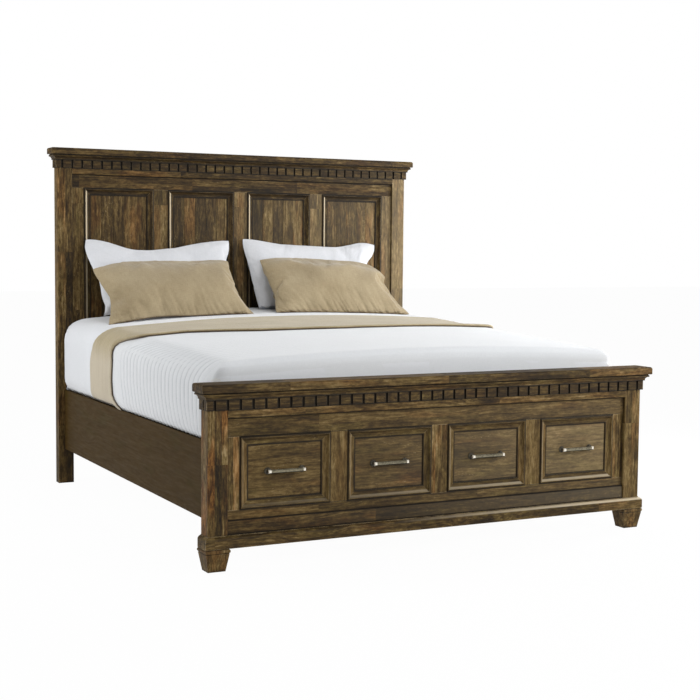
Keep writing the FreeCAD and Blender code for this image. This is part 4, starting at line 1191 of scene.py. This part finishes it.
def thickened(points, form, u, w):
    """Points with the wanted thickness, fuller below, and a sham's flat flange pressed in."""
    depth = points[:, 1].copy()
    if form["flange"]:
        inward = np.minimum((1 - abs(u)) * HALF_WIDE, (1 - abs(w)) * HALF_HIGH)
        inward = np.clip(inward / 0.03, 0, 1)
        depth *= 0.12 + 0.88 * inward ** 2 * (3 - 2 * inward)
    depth *= form["thickness"] / np.ptp(depth)
    depth *= 1 - 0.14 * w
    return np.stack([points[:, 0], depth, points[:, 2]], axis=1)


def leaned(points, form, behind):
    """Points at the pillow's place, over the bed and in front of what it leans against."""
    lean = Matrix.Rotation(-math.radians(form["lean"]), 4, "X")
    turned = np.array(Matrix.Translation(form["at"]) @ lean)
    points = points @ turned[:3, :3].T + turned[:3, 3]
    for point in points:
        point[2] = max(point[2], top_at(point[0], point[1]) + 0.0022)
        point[1] = min(point[1], HEADBOARD_FACE)
        if behind:
            hit = behind.ray_cast(Vector((point[0], 0.3, point[2])), Vector((0, 1, 0)))[0]
            if hit is not None:
                point[1] = min(point[1], hit.y - 0.003)
    return points


def soften(mesh, form):
    """Sink the seams' creases and the filling's lumps into the front of a pillow."""
    seed = form["at"][0] * 10 + form["lean"]
    u = read_floats(mesh, "across")
    w = read_floats(mesh, "up")
    moved = []
    for vertex, across, up in zip(mesh.vertices, u, w):
        lump = noise.noise(Vector((across * 2.2 - up * 0.7, up * 1.1, seed + 3)))
        sunk = form["crease"] * pucker(across, up, seed, form["reach"])
        sunk -= form["lumps"] * (1 - across ** 4) * (1 - up ** 4) * lump
        moved.append(vertex.co - vertex.normal * sunk * max(0.0, -vertex.normal.y))
    for vertex, to in zip(mesh.vertices, moved):
        vertex.co = to


def make_pillows():
    """Shams and pillows; each tan pillow leans against the sham behind it."""
    fronts = {}
    for node, form in PILLOWS.items():
        grid = net(side_line(form["bottom"], COLUMNS), side_line(form["right"], ROWS),
                   side_line(form["top"], COLUMNS), side_line(form["left"], ROWS))
        made = sewn_cover(node + "_case", grid, form["cloth"])
        stuff(made)
        mesh = made.data
        u = read_floats(mesh, "across")
        w = read_floats(mesh, "up")
        points = np.array([vertex.co for vertex in mesh.vertices])
        points = thickened(trued(points, grid, u, w), form, u, w)
        points = leaned(points, form, fronts.get(node.replace("pillow", "sham")))
        mesh.vertices.foreach_set("co", points.astype(np.float32).ravel())
        smooth = made.modifiers.new("smooth", "SUBSURF")
        smooth.levels = 1
        smooth.render_levels = 1
        settle(made)
        mesh = made.data
        soften(mesh, form)
        for label in ("across", "up"):
            mesh.attributes.remove(mesh.attributes[label])
        corners = [vertex.co.copy() for vertex in mesh.vertices]
        faces = [tuple(face.vertices) for face in mesh.polygons]
        fronts[node] = BVHTree.FromPolygons(corners, faces)
        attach(made, "root")
        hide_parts(node)


make_mattress()
SHEET = make_sheet()
BAND = make_band()
QUILT = make_coverlet()
make_pillows()


WHITE = (1, 1, 1, 1)


def make_floor():
    """A pale floor that keeps the bed's shadow and looks white to the camera."""
    pale = bpy.data.materials.new("pale floor")
    b = empty_bench(pale)
    plain = b.add("BsdfDiffuse", {"Color": (0.92, 0.92, 0.92, 1)})
    bright = b.add("Emission", {"Color": WHITE, "Strength": 1.0})
    ray = b.add("LightPath").outputs
    seen = b.sum("ADD", ray["Is Camera Ray"], ray["Is Glossy Ray"], clamp=True)
    mixed = b.add("MixShader", {0: b.sum("MULTIPLY", seen, 0.975), 1: plain.outputs[0],
                                2: bright.outputs[0]})
    b.add("OutputMaterial", {"Surface": mixed.outputs[0]})
    bm = bmesh.new()
    bmesh.ops.create_grid(bm, x_segments=1, y_segments=1, size=30)
    new_piece(bm, "floor", pale)


def make_world(level):
    """Soft light from all sides, and a white background."""
    world = bpy.data.worlds.new("studio")
    bpy.context.scene.world = world
    b = empty_bench(world)
    soft = b.add("Background", {"Color": WHITE, "Strength": level})
    white = b.add("Background", {"Color": WHITE, "Strength": 1.0})
    ray = b.add("LightPath").outputs
    seen = b.sum("ADD", ray["Is Camera Ray"], ray["Is Transmission Ray"], clamp=True)
    mixed = b.add("MixShader", {0: seen, 1: soft.outputs[0], 2: white.outputs[0]})
    b.add("OutputWorld", {"Surface": mixed.outputs[0]})


def make_lamp(name, at, to, size, watts):
    data = bpy.data.lights.new(name, "AREA")
    data.shape = "DISK"
    data.size = size
    data.energy = watts
    lamp = bpy.data.objects.new(name, data)
    lamp.location = at
    lamp.rotation_euler = (Vector(to) - Vector(at)).to_track_quat("-Z", "Y").to_euler()
    bpy.context.scene.collection.objects.link(lamp)


def make_camera():
    """The camera that was solved from the photograph's straight edges."""
    data = bpy.data.cameras.new("photo view")
    data.lens = 69.55
    data.sensor_width = 36.0
    data.shift_x = 0.00194
    data.shift_y = -0.00388
    camera = bpy.data.objects.new("photo view", data)
    columns = ((0.890338, -0.455212, 0.008928), (0.025669, 0.069763, 0.997233),
               (-0.454575, -0.887646, 0.073798))
    turn = Matrix(columns).transposed().to_4x4()
    camera.matrix_world = Matrix.Translation((-2.85622, -5.81561, 1.23669)) @ turn
    bpy.context.scene.collection.objects.link(camera)
    bpy.context.scene.camera = camera


make_floor()
make_world(0.27)
make_lamp("key", (3.4, -3.6, 2.1), (0.2, -0.3, 0.7), 2.0, 98)
make_lamp("right side", (3.3, -0.2, 1.4), (0, 0.8, 1.0), 1.0, 75)
make_lamp("left side", (-3.5, 0.7, 2.1), (-0.6, 0.2, 0.6), 1.6, 52)
make_lamp("front", (-0.6, -5.2, 2.4), (0, 0, 0.6), 2.6, 62)
make_lamp("top", (0.4, 0.2, 4.2), (0, 0, 0.6), 2.6, 30)
make_camera()
bpy.context.scene.view_settings.view_transform = "Standard"
